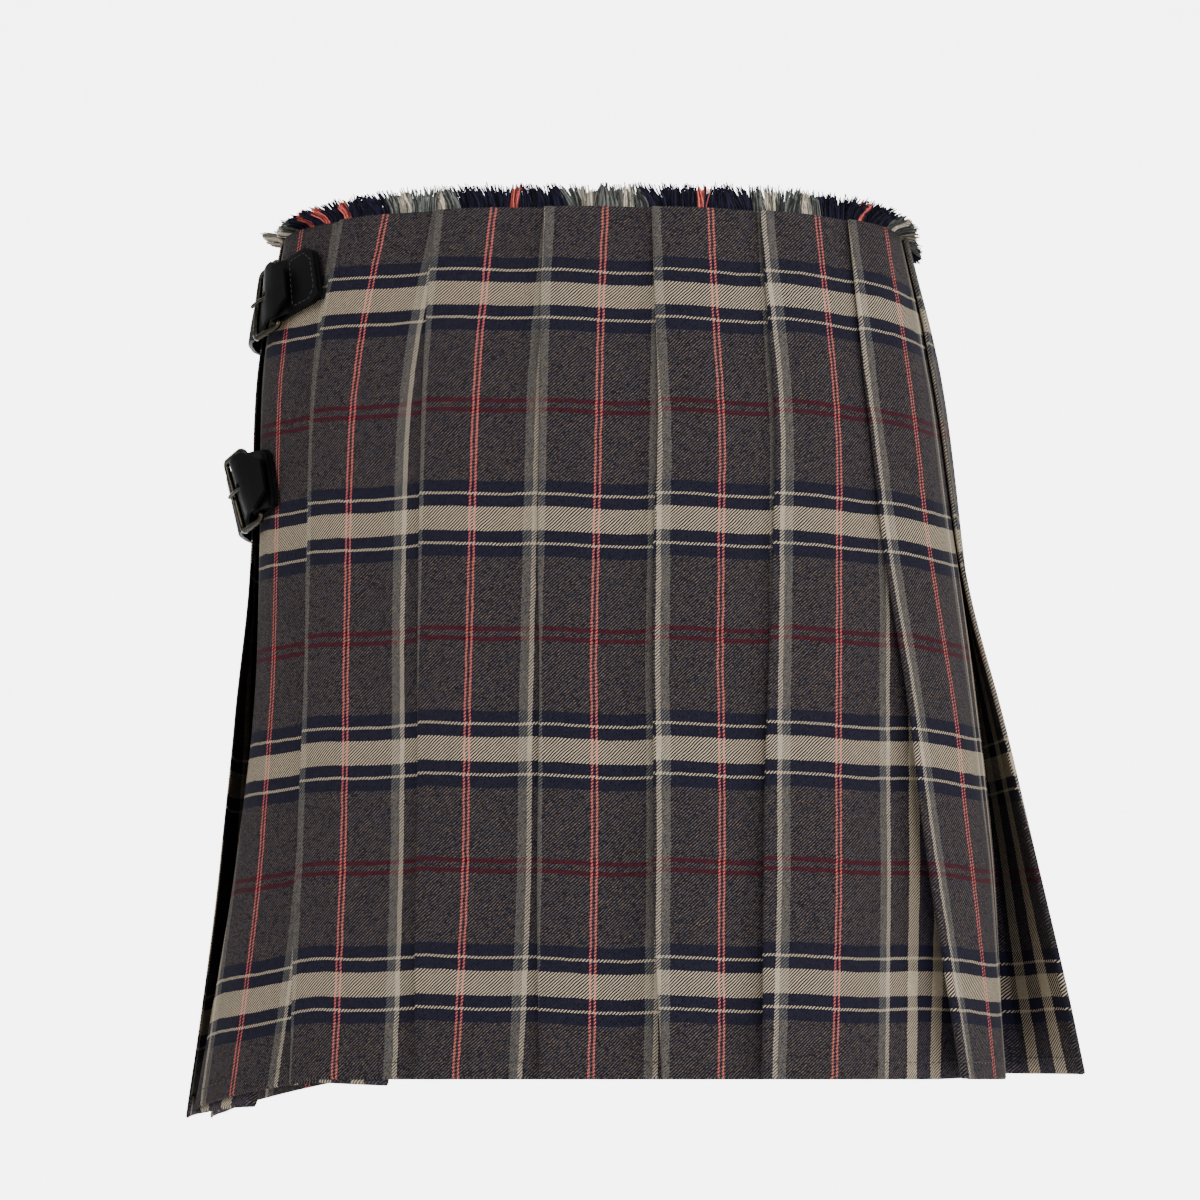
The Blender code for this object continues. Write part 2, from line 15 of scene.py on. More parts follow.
import bmesh
import bpy
import numpy as np
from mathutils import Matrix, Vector

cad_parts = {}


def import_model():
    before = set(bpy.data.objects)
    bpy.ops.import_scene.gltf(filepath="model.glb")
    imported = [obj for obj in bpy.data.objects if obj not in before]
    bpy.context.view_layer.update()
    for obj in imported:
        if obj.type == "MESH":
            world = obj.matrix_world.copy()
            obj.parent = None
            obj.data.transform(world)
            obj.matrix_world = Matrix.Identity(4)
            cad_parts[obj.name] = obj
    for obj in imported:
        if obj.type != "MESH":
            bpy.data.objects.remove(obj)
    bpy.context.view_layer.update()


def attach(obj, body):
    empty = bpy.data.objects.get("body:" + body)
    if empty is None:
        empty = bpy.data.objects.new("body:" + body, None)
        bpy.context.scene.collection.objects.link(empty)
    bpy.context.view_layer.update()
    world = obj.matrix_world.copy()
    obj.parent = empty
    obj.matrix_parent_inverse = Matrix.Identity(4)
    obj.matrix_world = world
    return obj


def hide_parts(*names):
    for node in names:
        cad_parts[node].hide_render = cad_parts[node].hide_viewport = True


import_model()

bl_info = {
    "name": "Mini Kilt",
    "version": (1, 0, 0),
    "blender": (4, 5, 0),
    "location": "3D Viewport > Sidebar > Kilt",
    "description": "Pleated tartan cloth, frayed edge, stitching and leather fastenings of a mini kilt",
    "category": "Add Mesh",
}

BODY = "root"
MM = 0.001

# Cloth
CLOTH_LENGTH = 442.0  # waist edge to hem, along the cloth
BACK_HEIGHT = 435.0  # the same, measured straight down
TAKE_UP = 176.0  # cloth used by one pleat, which is also one repeat of the tartan
LAYER = 1.7  # spacing of the pressed layers in the stitched fell
FELL = 177.0  # the pleats are stitched down to here
OVAL_POWER = 2.25  # 2 is an ellipse; more has fuller corners
HALF_TURN = 720  # points round half of an oval

# The oval that the pleat faces lie on: height below the waist, middle, half width, depth back and front
OVALS = np.array(
    [
        # below, middle, half_width, back, front
        (-20.0, -2.0, 159.5, 104.5, 102.0),
        (0.0, -1.7, 163.2, 108.0, 104.0),
        (69.0, 0.5, 176.9, 122.0, 112.0),
        (157.0, 5.4, 183.4, 132.0, 120.0),
        (238.0, 9.2, 189.8, 138.0, 127.0),
        (316.0, 9.8, 198.6, 145.0, 134.0),
        (395.0, 7.2, 206.0, 152.0, 140.0),
        (435.0, 5.2, 210.0, 155.0, 143.0),
        (470.0, 4.2, 213.0, 157.0, 145.0),
    ]
)

# Outer fold edges of the nine knife pleats, and the coral lines down the middle of their faces,
# from the wearer's left round the back to the right: arcs at six drops
DROPS = (0.0, 100.0, 180.0, 250.0, 330.0, 442.0)
FOLD_ARCS = np.array(
    [
        # waist, 100, fell, 250, 330, hem
        (-207.0, -218.0, -225.0, -223.0, -231.0, -251.0),
        (-138.0, -158.0, -166.0, -170.0, -171.0, -165.0),
        (-81.0, -91.0, -97.0, -100.0, -100.0, -95.0),
        (-25.0, -31.0, -36.0, -38.0, -39.0, -33.0),
        (29.0, 28.0, 21.0, 17.5, 17.5, 26.0),
        (85.0, 87.0, 81.0, 75.0, 72.0, 75.0),
        (137.0, 141.0, 145.0, 151.5, 159.0, 178.5),
        (198.0, 212.0, 226.0, 240.0, 256.0, 279.0),
        (254.0, 272.0, 288.0, 304.0, 322.0, 350.0),
    ]
)
CORAL_ARCS = np.array(
    [
        # waist, 100, fell, 250, 330, hem
        (-172.0, -189.0, -197.0, -200.0, -203.0, -212.0),
        (-110.0, -131.0, -138.5, -142.0, -142.0, -139.5),
        (-52.0, -64.0, -70.5, -75.0, -76.0, -75.5),
        (4.5, -2.5, -8.5, -12.5, -12.5, -9.5),
        (57.5, 58.0, 53.5, 50.0, 50.0, 53.5),
        (116.0, 120.5, 115.5, 111.0, 109.5, 110.5),
        (165.5, 173.0, 178.0, 185.0, 193.0, 212.5),
        (226.0, 241.0, 255.0, 270.0, 288.0, 314.0),
        (281.0, 299.0, 315.0, 331.0, 349.0, 377.0),
    ]
)

# How each pleat hangs below the fell: spacing of its layers at the hem, how far its fold edge
# stands out at the hem, how far that reaches along the face, how much lower its hidden layers hang,
# and how far its weft lies above its neighbours'
PLEATS = np.array(
    [
        # spread, lift, reach, sag, shift
        (3.6, 6.0, 24.0, 6.0, 0.8),
        (2.8, 1.2, 18.0, 3.0, -0.6),
        (2.4, 0.8, 16.0, 0.0, -1.1),
        (2.3, 0.8, 16.0, -0.5, 1.2),
        (2.4, 3.0, 14.0, -0.5, 0.2),
        (2.6, 2.2, 16.0, -0.5, -0.9),
        (3.6, 13.0, 26.0, -1.0, 0.9),
        (3.6, 34.0, 42.0, 1.0, -0.4),
        (3.0, 4.0, 30.0, 0.0, 0.5),
    ]
)
STATIONS = tuple(i / 11.0 for i in range(11))  # where a pleat's layers have points, as shares of its depth
FOLD_TURNS = 8  # steps round a fold edge
FOLD_BULGE = 2.5  # most that a hidden fold reaches past its layers
EDGE_SAG = 0.3  # a fold edge hangs this share as low as its hidden fold
SPREAD_FROM = 170.0  # drop at which the layers begin to part
SETTLING = (0.3, 0.97)  # shares of a face between which it sinks towards the next pleat
FACE_POINTS = 10  # on each face past its hidden fold
FACE_SHORT = 1.7  # a face's last point lies this far before the next fold edge
DEPTH_SHORT = 5.0  # and a hidden fold ends at least this far before it
LIFT_DROPS = (0.0, 165.0, 200.0, 250.0, 330.0, 400.0, 442.0)
LIFT_SHARES = (0.0, 0.0, 0.05, 0.24, 0.49, 0.82, 1.0)

# The hem is lower at the wearer's left, where the apron edge hangs
HEM = np.array(
    [
        # arc, how much lower than elsewhere
        (-950.0, -4.0),
        (-580.0, -4.0),
        (-460.0, -3.0),
        (-420.0, 2.0),
        (-380.0, 9.0),
        (-330.0, 17.0),
        (-285.0, 20.0),
        (-240.0, 13.0),
        (-190.0, 5.0),
        (-150.0, 0.0),
        (250.0, 0.0),
        (280.0, -3.0),
        (320.0, -4.0),
        (600.0, -4.0),
    ]
)

WRAP_ARC = 600.0  # past this arc the table is read from its left end

# Sewing. Sizes of stitches are in metres, as used by stitches()
STITCH_SHAPE = (
    # share of its length, whether it dips there
    (0.0, 1.0),
    (0.18, 0.0),
    (0.82, 0.0),
    (1.0, 1.0),
)
HEM_STITCH_RADIUS = 0.00027
STITCH_STAND = 0.00008  # the hem's sewing stands this far off the cloth's surface
FELL_STITCH = (0.0013, 0.0001, 0.00013)  # length, gap and radius
FELL_SLANT = 0.0006  # how much lower a fell stitch ends than it starts
SADDLE_STITCH = (0.0026, 0.0009, 0.00028)  # length, gap and radius
FELL_START = 7.0  # drop of the first fell stitch
FELL_STEP = 7.5
FELL_REACH = 0.9  # to each side of the fold edge
FELL_STANDS = (0.55, 0.42)  # above the lower and the upper layer

# Free edges of the aprons, arc at the same six drops, and how far the over apron stands out there
OVER_EDGE_ARCS = (-213.0, -226.0, -240.0, -249.0, -264.0, -284.0)
OVER_EDGE_STAND = (1.8, 2.4, 3.8, 8.0, 7.4, 8.0)
UNDER_EDGE_ARCS = (232.0, 240.0, 250.0, 262.0, 275.0, 292.0)
UNDER_INSIDE = 4.2  # the under apron inside the over apron
UNDER_TUCK = (10.5, 12.0, 14.0, 17.0, 20.0, 24.0)  # its end, inside the last pleats
OVER_EDGE_RISE = (95.0, 8.0)  # before its free edge, where the over apron starts and ends to stand out
UNDER_RISE = (40.0, 4.0)  # before the first pleat, where the under apron moves out to meet it
UNDER_FALL = (8.0, 80.0)  # past the last pleat's hidden fold, where the under apron leaves its tuck
JOIN = 4.0 / 11.0  # the panels are joined under the first and last pleats, at this share of their depth
PAST_JOIN = JOIN + 0.05
FRONT_REPEATS = 10.0  # whole repeats of the tartan from the first coral line to the middle of the front
APRON_STEPS = 130

# Soft troughs (depth below 0) and ridges pressed into the worn cloth: place round the body in degrees
# from the middle of the back, drop, lean sideways for each mm down, half length, half width, depth
CREASES = np.array(
    [
        # turn, drop, lean, length, width, depth
        (-68.0, 70.0, 0.75, 48.0, 7.0, -1.0),
        (-60.0, 110.0, 0.60, 60.0, 9.0, 0.9),
        (-52.0, 60.0, 0.35, 40.0, 8.0, -0.8),
        (-44.0, 205.0, 0.10, 70.0, 11.0, -1.1),
        (-33.0, 34.0, -0.10, 28.0, 9.0, 0.7),
        (-27.0, 310.0, 0.05, 90.0, 10.0, -1.0),
        (-14.0, 140.0, -0.08, 60.0, 10.0, 0.7),
        (-6.0, 26.0, 0.05, 22.0, 12.0, -0.6),
        (5.0, 330.0, 0.03, 85.0, 9.0, 1.0),
        (12.0, 215.0, 0.06, 55.0, 8.0, -0.9),
        (20.0, 90.0, -0.05, 45.0, 11.0, 0.7),
        (30.0, 260.0, -0.10, 80.0, 9.0, -1.2),
        (37.0, 32.0, 0.12, 26.0, 8.0, -0.7),
        (46.0, 170.0, 0.20, 55.0, 9.0, 0.9),
        (58.0, 120.0, 0.35, 60.0, 9.0, -1.0),
        (66.0, 280.0, 0.30, 75.0, 10.0, 1.1),
        (74.0, 50.0, 0.40, 40.0, 10.0, -0.9),
        (88.0, 210.0, 0.22, 85.0, 12.0, -1.6),
        (100.0, 340.0, 0.20, 80.0, 13.0, 1.7),
        (112.0, 120.0, 0.30, 70.0, 11.0, -1.3),
        (124.0, 300.0, 0.15, 95.0, 14.0, -1.9),
        (137.0, 70.0, 0.45, 50.0, 9.0, -1.1),
        (146.0, 230.0, 0.10, 80.0, 12.0, 1.5),
        (158.0, 370.0, 0.08, 70.0, 14.0, -1.8),
        (169.0, 45.0, -0.20, 35.0, 10.0, -0.9),
        (178.0, 180.0, -0.05, 85.0, 13.0, 1.4),
        (-171.0, 330.0, -0.10, 90.0, 13.0, -1.7),
        (-160.0, 110.0, -0.35, 60.0, 10.0, -1.2),
        (-149.0, 250.0, -0.18, 80.0, 13.0, 1.5),
        (-138.0, 60.0, -0.80, 45.0, 8.0, -1.1),
        (-127.0, 350.0, -0.15, 80.0, 12.0, -1.6),
        (-118.0, 165.0, -0.45, 60.0, 9.0, -1.2),
        (-106.0, 90.0, -0.90, 40.0, 8.0, 0.9),
        (-99.0, 270.0, -0.20, 85.0, 12.0, -1.4),
    ]
)

# Under a fastening the cloth is flat: how far ahead of the heel bar the flat place lies, half its
# length and height, and how far it fades
QUIET_AHEAD = 36.0
QUIET_LENGTH = 78.0
QUIET_HEIGHT = 26.0
QUIET_FADE = 25.0

# The tartan, as bands of thread with the distance at which each starts from the middle of the repeat
WARP_BANDS = (
    # start, thread
    (0.0, "ground_warp"),
    (0.35, "coral"),
    (1.5, "ground_warp"),
    (25.2, "grey_green"),
    (29.8, "pale"),
    (32.2, "ground_warp"),
    (45.0, "cream"),
    (52.0, "navy"),
    (62.0, "cream"),
    (69.0, "navy"),
    (79.0, "ground_warp"),
)
WEFT_REPEAT = 116.5
WEFT_MIDDLE = 46.0  # height above the hem of the lowest beige bar
WEFT_BOW = 0.8  # how far the bars bow up and down between folds
WEFT_BANDS = (
    # start, thread
    (0.0, "cream"),
    (6.0, "navy"),
    (12.0, "cream"),
    (13.3, "navy"),
    (19.3, "ground_weft"),
    (54.6, "maroon"),
    (56.7, "ground_weft"),
)

# How much heather fibre each thread holds, and the tints of single floats with the chance at which
# each starts: dark slate, blue grey, plain, tan and ochre
HEATHER = {
    "ground_warp": 1.0,
    "ground_weft": 1.0,
    "navy": 0.18,
    "cream": 0.10,
    "pale": 0.10,
    "coral": 0.12,
    "maroon": 0.25,
    "grey_green": 0.45,
}
FLECKS = (
    (0.0, (0.35, 0.37, 0.42)),
    (0.22, (0.85, 0.95, 1.20)),
    (0.40, (0.95, 0.95, 0.95)),
    (0.76, (1.25, 1.18, 1.02)),
    (0.93, (1.85, 1.60, 1.20)),
)

# Fringe: the frayed strip's yarns from the middle of its repeat outwards
FRINGE_REPEAT = 97.0
FRINGE_START = -42.5
FRINGE_BANDS = (
    # start, yarn
    (0.0, "coral"),
    (2.3, "navy"),
    (28.0, "fringe_grey"),
    (35.0, "fringe_cream"),
    (41.5, "fringe_grey"),
)
LEFT_END = -150.0  # towards the wearer's left of this arc the bands lie one by one, as below
FRINGE_LEFT = (
    # arc at which it starts, yarn
    (-260.0, "fringe_cream"),
    (-197.0, "fringe_grey"),
    (-186.0, "navy"),
    (-174.5, "coral"),
    (-170.0, "navy"),
    (-158.5, "coral"),
    (-154.0, "navy"),
)
YARN_SHADES = (0.3, 0.75, 1.7)  # fibres in shadow, plain and lit along the yarn
# The dense body of the fringe, and the finer ends that stand out of it
FRINGE_KINDS = (
    # spacing, thickness, shortest, longest, scatter, bends: spacing and thickness against the plain yarn's
    (0.75, 1.15, 0.6, 0.88, 0.45, 3),
    (1.1, 1.0, 0.76, 1.06, 0.9, 4),
)
# The yarns stand taller where the strip was left wider above the cloth's edge
FRINGE_TALLER = np.array(
    [
        # arc, how much taller
        (-190.0, 0.0),
        (-160.0, 1.4),
        (-115.0, 1.3),
        (-50.0, 0.6),
        (0.0, 0.0),
        (60.0, 0.9),
        (125.0, 2.4),
        (165.0, 3.6),
        (200.0, 2.0),
        (225.0, 0.0),
    ]
)
FRINGE_TUFT = (207.0, 221.0, 238.0, 250.0)  # arcs between which a tuft bends over at the wearer's right
FRINGE_DENSE = 265.0  # yarns lie closest within this arc of the middle of the back
FRINGE_SPARSE = 1.6  # and this many times as far apart beyond it
FRINGE_LAP = 270.0  # the strip's outer end takes its inner end's colours over this arc
YARN_ROOT = -3.5  # the yarns start this far below the strip's edge
YARN_FREE = 0.25  # share of its height at which a yarn's first free point lies
YARN_TAPER = 0.3
YARN_LEAN = 2.1
YARN_LEFTWARDS = 0.9  # taken from the combing, so that most tips point to the wearer's left
# Neighbouring yarns cling together, and are combed to one side: size, turn for each mm and start of waves
YARN_BUNDLES = ((1.0, 0.55, 0.0), (0.6, 1.37, 1.3))
YARN_COMBING = ((1.0, 0.131, 0.8), (0.7, 0.297, 2.1))
HIP_SPLAY = (11.0, 2.5)  # how far the yarns fall outwards at the hips, and a tuft's more
HIP_DROOP = (0.45, 1.15)  # how far they hang down there, as a share of their height
STRIP_ROWS = (11.0, 7.0, 3.0, 0.0, -4.5)  # drops of the woven strip's rows
STRIP_WALL = 0.0007  # in metres
STRIP_POINTS = 340
STRIP_END = 3.0  # the strip ends this far inside the aprons' free edges
STRIP_WEFT = 80.0  # place of its top on the flat cloth
STRIP_INSIDE = 1.3  # how far it lies inside the pleats' inner layers
STRIP_INSIDE_UNDER = 1.8  # and inside the under apron
STRIP_INSIDE_OVER = 2.05  # and inside the over apron alone
STRIP_LEAVES = (50.0, 75.0)  # past the last fold edge, where it moves out to the over apron
STRIP_MEETS = (45.0, 12.0)  # before the first fold edge, where it moves in from the under apron

# Leather fastenings
STRAP_RISE = math.radians(12.0)  # straps and tabs slant up towards the back
STRAP_LEVEL = math.radians(2.0)  # in front of the buckle
BAR_RADIUS = 1.6
PRONG_RADIUS = 0.9
CLOTH_WALL_SOLID = 1.1  # the straps lie clear of cloth as thick as this
CLEAR = 0.3
LOOP_CLEAR = 0.55  # round the heel bar
TAB_FOLD_WALL = 1.6
TAB_LOW = 1.85  # middle of a tab's lower layer, above the pleat faces
TAB_CLOSED = 9.5  # from here on a tab's two layers lie together
TAB_STRAIGHT = 0.82  # and this share of its length has straight sides
TAB_SHOULDER = 7.0  # its sewing turns in this far before its end
TAB_SEWN = 25.0  # a tab no longer than this has no room for sewing
SEWING_FROM = 13.0
BUCKLE_HEIGHT = 41.0
BUCKLE_LENGTH = 21.0
BUCKLE_STEP = 3.7  # the outer bar stands this much further out than the heel bar
BUCKLE_BEND = 2.8  # radius of the frame's corners
BUCKLE_STRAIGHT = 13.0  # each bar has its own points up to this far from its middle
LEVEL_FROM = -30.0  # along the strap, where it turns level
STAND_RISE = (-76.0, -42.0)  # along the strap, where it lifts to a buckle that stands off
STAND_FALL = (-8.0, 16.0)
STRAP_FROM = -112.0  # along the strap, its sewn end on the over apron
STRAP_OVER = 5.6  # it crosses the heel bar this far outside it
STRAP_HOLES = (-34.0, -52.0)
HOLE_SIZE = (4.0, 4.0)  # length and width of each cut
STRAP_SLOT_SIZE = (11.6, 4.4)
TAB_SLOT_SIZE = (9.0, 3.6)
RIBBON_LANES = 13  # rows of points across a strap
RIBBON_STEP = 1.5
BURNISH = 0.45  # radius of the leather's rounded edges
PUNCH_REACH = 6.0  # the punch reaches this far to each side of a ribbon
# name, arc and height of the heel bar, how far the buckle stands off, its lean per mm of height,
# and the length of its base tab
FASTENINGS = (
    ("upper", -183.0, -33.5, 0.3, 0.0, 33.0),
    ("lower", -205.0, -132.5, 4.5, 0.22, 13.5),
)

# Camera: level with the hem and tilted up a little
CAMERA_BACK = 2.3
CAMERA_HEIGHT = -0.435
FOCAL_LENGTH = 133.0
SENSOR = 36.0
LOOK_UP = math.radians(4.61)
RISE = 0.1  # the lens raised by this share of the frame

# Lights, all turned towards the kilt's middle, and the paper sweep, in metres
LIGHTS = (
    # name, place, size, power
    ("key_light", (-1.9, -2.6, 0.9), 2.0, 82.0),
    ("fill_light", (1.6, -2.7, 0.0), 2.2, 46.0),
    ("side_light", (2.5, -0.7, 0.3), 1.6, 46.0),
    ("top_light", (0.2, 0.3, 2.4), 2.2, 40.0),
    ("back_light", (0.4, 2.5, 0.8), 2.4, 50.0),
)
LIGHT_AIM = Vector((0.0, 0.0, -0.22))
SWEEP_NEAR = -6.0  # the paper's edge behind the camera
SWEEP_FLAT = 9.0  # length on the floor
SWEEP_BEND = 1.6
SWEEP_TALL = 7.0
SWEEP_HALF_WIDTH = 9.0
# Middle of the painted glow that the paper itself gives off
PAINTED_GLOW_MIDDLE = (0.0, 0.0, 0.17)


def linear(hex_colour):
    """An sRGB hex colour as the linear values that shaders use."""
    values = [int(hex_colour[i : i + 2], 16) / 255.0 for i in (1, 3, 5)]
    return tuple(v / 12.92 if v <= 0.04045 else ((v + 0.055) / 1.055) ** 2.4 for v in values)


def colour_property(name, description, hex_colour):
    colour = linear(hex_colour)
    return bpy.props.FloatVectorProperty(
        name=name, description=description, default=colour, subtype="COLOR", size=3, min=0.0, max=1.0
    )


def length_property(name, description, millimetres):
    return bpy.props.FloatProperty(
        name=name, description=description, default=millimetres * MM, min=0.0, unit="LENGTH", precision=5
    )


class KiltClothSettings(bpy.types.PropertyGroup):
    """The woven cloth, its sewing and its frayed edge."""

    wall: length_property("Cloth thickness", "Thickness of the wool twill", 0.8)
    row_spacing: length_property("Row spacing", "Distance down the cloth between rows of points", 6.5)
    turn_up: length_property("Hem turn-up", "Height of the hem folded up inside", 9.0)
    hem_stitch: length_property("Hem stitch height", "Distance of the hem's stitching above its edge", 7.5)
    stitch: length_property("Stitch", "Length of one visible stitch", 2.8)
    stitch_gap: length_property("Stitch gap", "Space between two stitches", 1.3)
    warp_pitch: length_property("Warp pitch", "Spacing of the threads that run down", 0.42)
    weft_pitch: length_property("Weft pitch", "Spacing of the threads that run across", 0.42)
    fringe_height: length_property("Fringe", "Length of the frayed yarns above the waist edge", 12.2)
    yarn: length_property("Yarn thickness", "Diameter of one frayed yarn", 0.8)
    yarn_spacing: length_property("Yarn spacing", "Distance between frayed yarns at the back", 0.27)
    ground_warp: colour_property("Ground warp", "Slate threads that run down", "#16161c")
    ground_weft: colour_property("Ground weft", "Taupe heather threads that run across", "#423b3a")
    navy: colour_property("Navy", "Dark blue threads", "#1b1a2a")
    cream: colour_property("Cream", "Light threads", "#a39680")
    coral: colour_property("Coral", "Warm line down each pleat", "#b3544d")
    maroon: colour_property("Maroon", "Thin lines across", "#4a161f")
    grey_green: colour_property("Grey green", "Soft band beside the fold edges", "#4e4d48")
    pale: colour_property("Pale line", "Light line beside the grey green", "#938978")
    fringe_cream: colour_property("Cream yarn", "Cream yarn in the fringe", "#aaa192")
    fringe_grey: colour_property("Grey yarn", "Grey yarn in the fringe", "#595b58")
    thread: colour_property("Sewing thread", "Thread of the hem and the pleats", "#0e0e12")


class KiltLeatherSettings(bpy.types.PropertyGroup):
    """The straps, tabs and buckles."""

    strap_width: length_property("Strap width", "Width of the straps and their base tabs", 31.0)
    strap_wall: length_property("Strap thickness", "Thickness of the strap leather", 2.0)
    tab_wall: length_property("Tab thickness", "Thickness of one layer of the base tab", 1.6)
    stitch_inset: length_property("Stitch inset", "Distance of the stitching from the leather's edge", 2.6)
    leather: colour_property("Leather", "Dyed and finished surface of the leather", "#050506")
    metal: colour_property("Gunmetal", "Plating of the buckles", "#3c382f")


class KiltStageSettings(bpy.types.PropertyGroup):
    """The floor and backdrop."""

    floor_drop: length_property("Floor", "Distance of the floor below the waist", 1050.0)
    paper: colour_property("Paper", "Colour of the floor and backdrop", "#f2f2f2")
    # Painted glow: the paper itself gives off light, with no lamp behind it
    painted_glow: bpy.props.FloatProperty(
        name="Glow", description="Strength of the light behind the paper", default=5.4, min=0.0
    )


def add_node(tree, kind, settings=None, inputs=None):
    """Add a shader node with its settings; each input is a value or another node's socket."""
    node = tree.nodes.new(kind)
    for name, value in (settings or {}).items():
        setattr(node, name, value)
    for key, value in (inputs or {}).items():
        if isinstance(value, bpy.types.NodeSocket):
            tree.links.new(value, node.inputs[key])
        else:
            node.inputs[key].default_value = value
    return node


def maths(tree, operation, *values, kind="ShaderNodeMath"):
    """The result of one operation on numbers, each a value or a socket."""
    return add_node(tree, kind, {"operation": operation}, dict(enumerate(values))).outputs[0]


def vector_maths(tree, operation, *values):
    """The result of one operation on vectors or colours."""
    return maths(tree, operation, *values, kind="ShaderNodeVectorMath")


def scaled(tree, vector, factor):
    """A vector or colour times a number."""
    node = add_node(tree, "ShaderNodeVectorMath", {"operation": "SCALE"}, {0: vector, "Scale": factor})
    return node.outputs[0]


def remapped(tree, value, old, new, curve="LINEAR"):
    """A value moved from its old range to a new one, and held inside that."""
    inputs = {"Value": value, "From Min": old[0], "From Max": old[1], "To Min": new[0], "To Max": new[1]}
    return add_node(tree, "ShaderNodeMapRange", {"interpolation_type": curve}, inputs).outputs[0]


def mixed(tree, share, first, second, clamped=True):
    """A mix of two colours."""
    settings = {"data_type": "RGBA", "clamp_factor": clamped}
    return add_node(tree, "ShaderNodeMix", settings, {0: share, 6: first, 7: second}).outputs[2]


def noise(tree, place, scale, detail, dimensions="3D"):
    inputs = {"Vector": place, "Scale": scale, "Detail": detail}
    return add_node(tree, "ShaderNodeTexNoise", {"noise_dimensions": dimensions}, inputs)


def object_place(tree):
    return add_node(tree, "ShaderNodeTexCoord").outputs["Object"]


def new_material(name, constants):
    """A material with its Principled shader set to constants that hold all over the surface."""
    made = bpy.data.materials.new(name)
    made.use_nodes = True
    shader = made.node_tree.nodes["Principled BSDF"]
    for key, value in constants.items():
        shader.inputs[key].default_value = value
    return made, made.node_tree, shader


def add_bump(tree, shader, strength, distance, height):
    """Small relief from a height, with its distance in metres."""
    inputs = {"Strength": strength, "Distance": distance, "Height": height}
    bump = add_node(tree, "ShaderNodeBump", None, inputs)
    tree.links.new(bump.outputs[0], shader.inputs["Normal"])


def tint(tree, shader, colour, level):
    """The surface's colour, darker or lighter from place to place."""
    tree.links.new(scaled(tree, colour, level), shader.inputs["Base Color"])


def opaque(colour):
    return (*colour, 1.0)


def thread_colours(tree, distance, reach, bands, threads):
    """Colours of parallel bands of thread, from each one's distance to the middle of the repeat.

    The alpha is how much heather fibre is spun into the thread.
    """
    ramp = add_node(tree, "ShaderNodeValToRGB", None, {0: maths(tree, "DIVIDE", distance, reach)})
    ramp.color_ramp.interpolation = "CONSTANT"
    stops = ramp.color_ramp.elements
    stops.remove(stops[1])
    stops[0].position = 0.0
    stops[0].color = (*threads[bands[0][1]], HEATHER[bands[0][1]])
    for start, thread in bands[1:]:
        stops.new(start / reach).color = (*threads[thread], HEATHER[thread])
    return ramp


def spun(tree, ramp, along, across, seed):
    """The thread's colour at one float: each is spun of mixed fibres and catches the light differently.

    along and across number the floats: whole steps of each pick out one float of one thread.
    """
    steps = {"X": maths(tree, "FLOOR", along), "Y": maths(tree, "FLOOR", across), "Z": seed}
    cell = add_node(tree, "ShaderNodeCombineXYZ", None, steps).outputs[0]
    chance = add_node(tree, "ShaderNodeTexWhiteNoise", {"noise_dimensions": "3D"}, {"Vector": cell})
    fleck = add_node(tree, "ShaderNodeValToRGB", None, {0: chance.outputs["Value"]})
    fleck.color_ramp.interpolation = "CONSTANT"
    stops = fleck.color_ramp.elements
    stops[1].position = FLECKS[-1][0]
    stops[1].color = opaque(FLECKS[-1][1])
    stops[0].color = opaque(FLECKS[0][1])
    for start, tint in FLECKS[1:-1]:
        stops.new(start).color = opaque(tint)
    white = (1.0, 1.0, 1.0, 1.0)
    heathered = mixed(tree, ramp.outputs["Alpha"], white, fleck.outputs["Color"], clamped=False)
    made = vector_maths(tree, "MULTIPLY", ramp.outputs["Color"], heathered)
    return scaled(tree, made, remapped(tree, chance.outputs["Color"], (0.0, 1.0), (0.84, 1.16)))


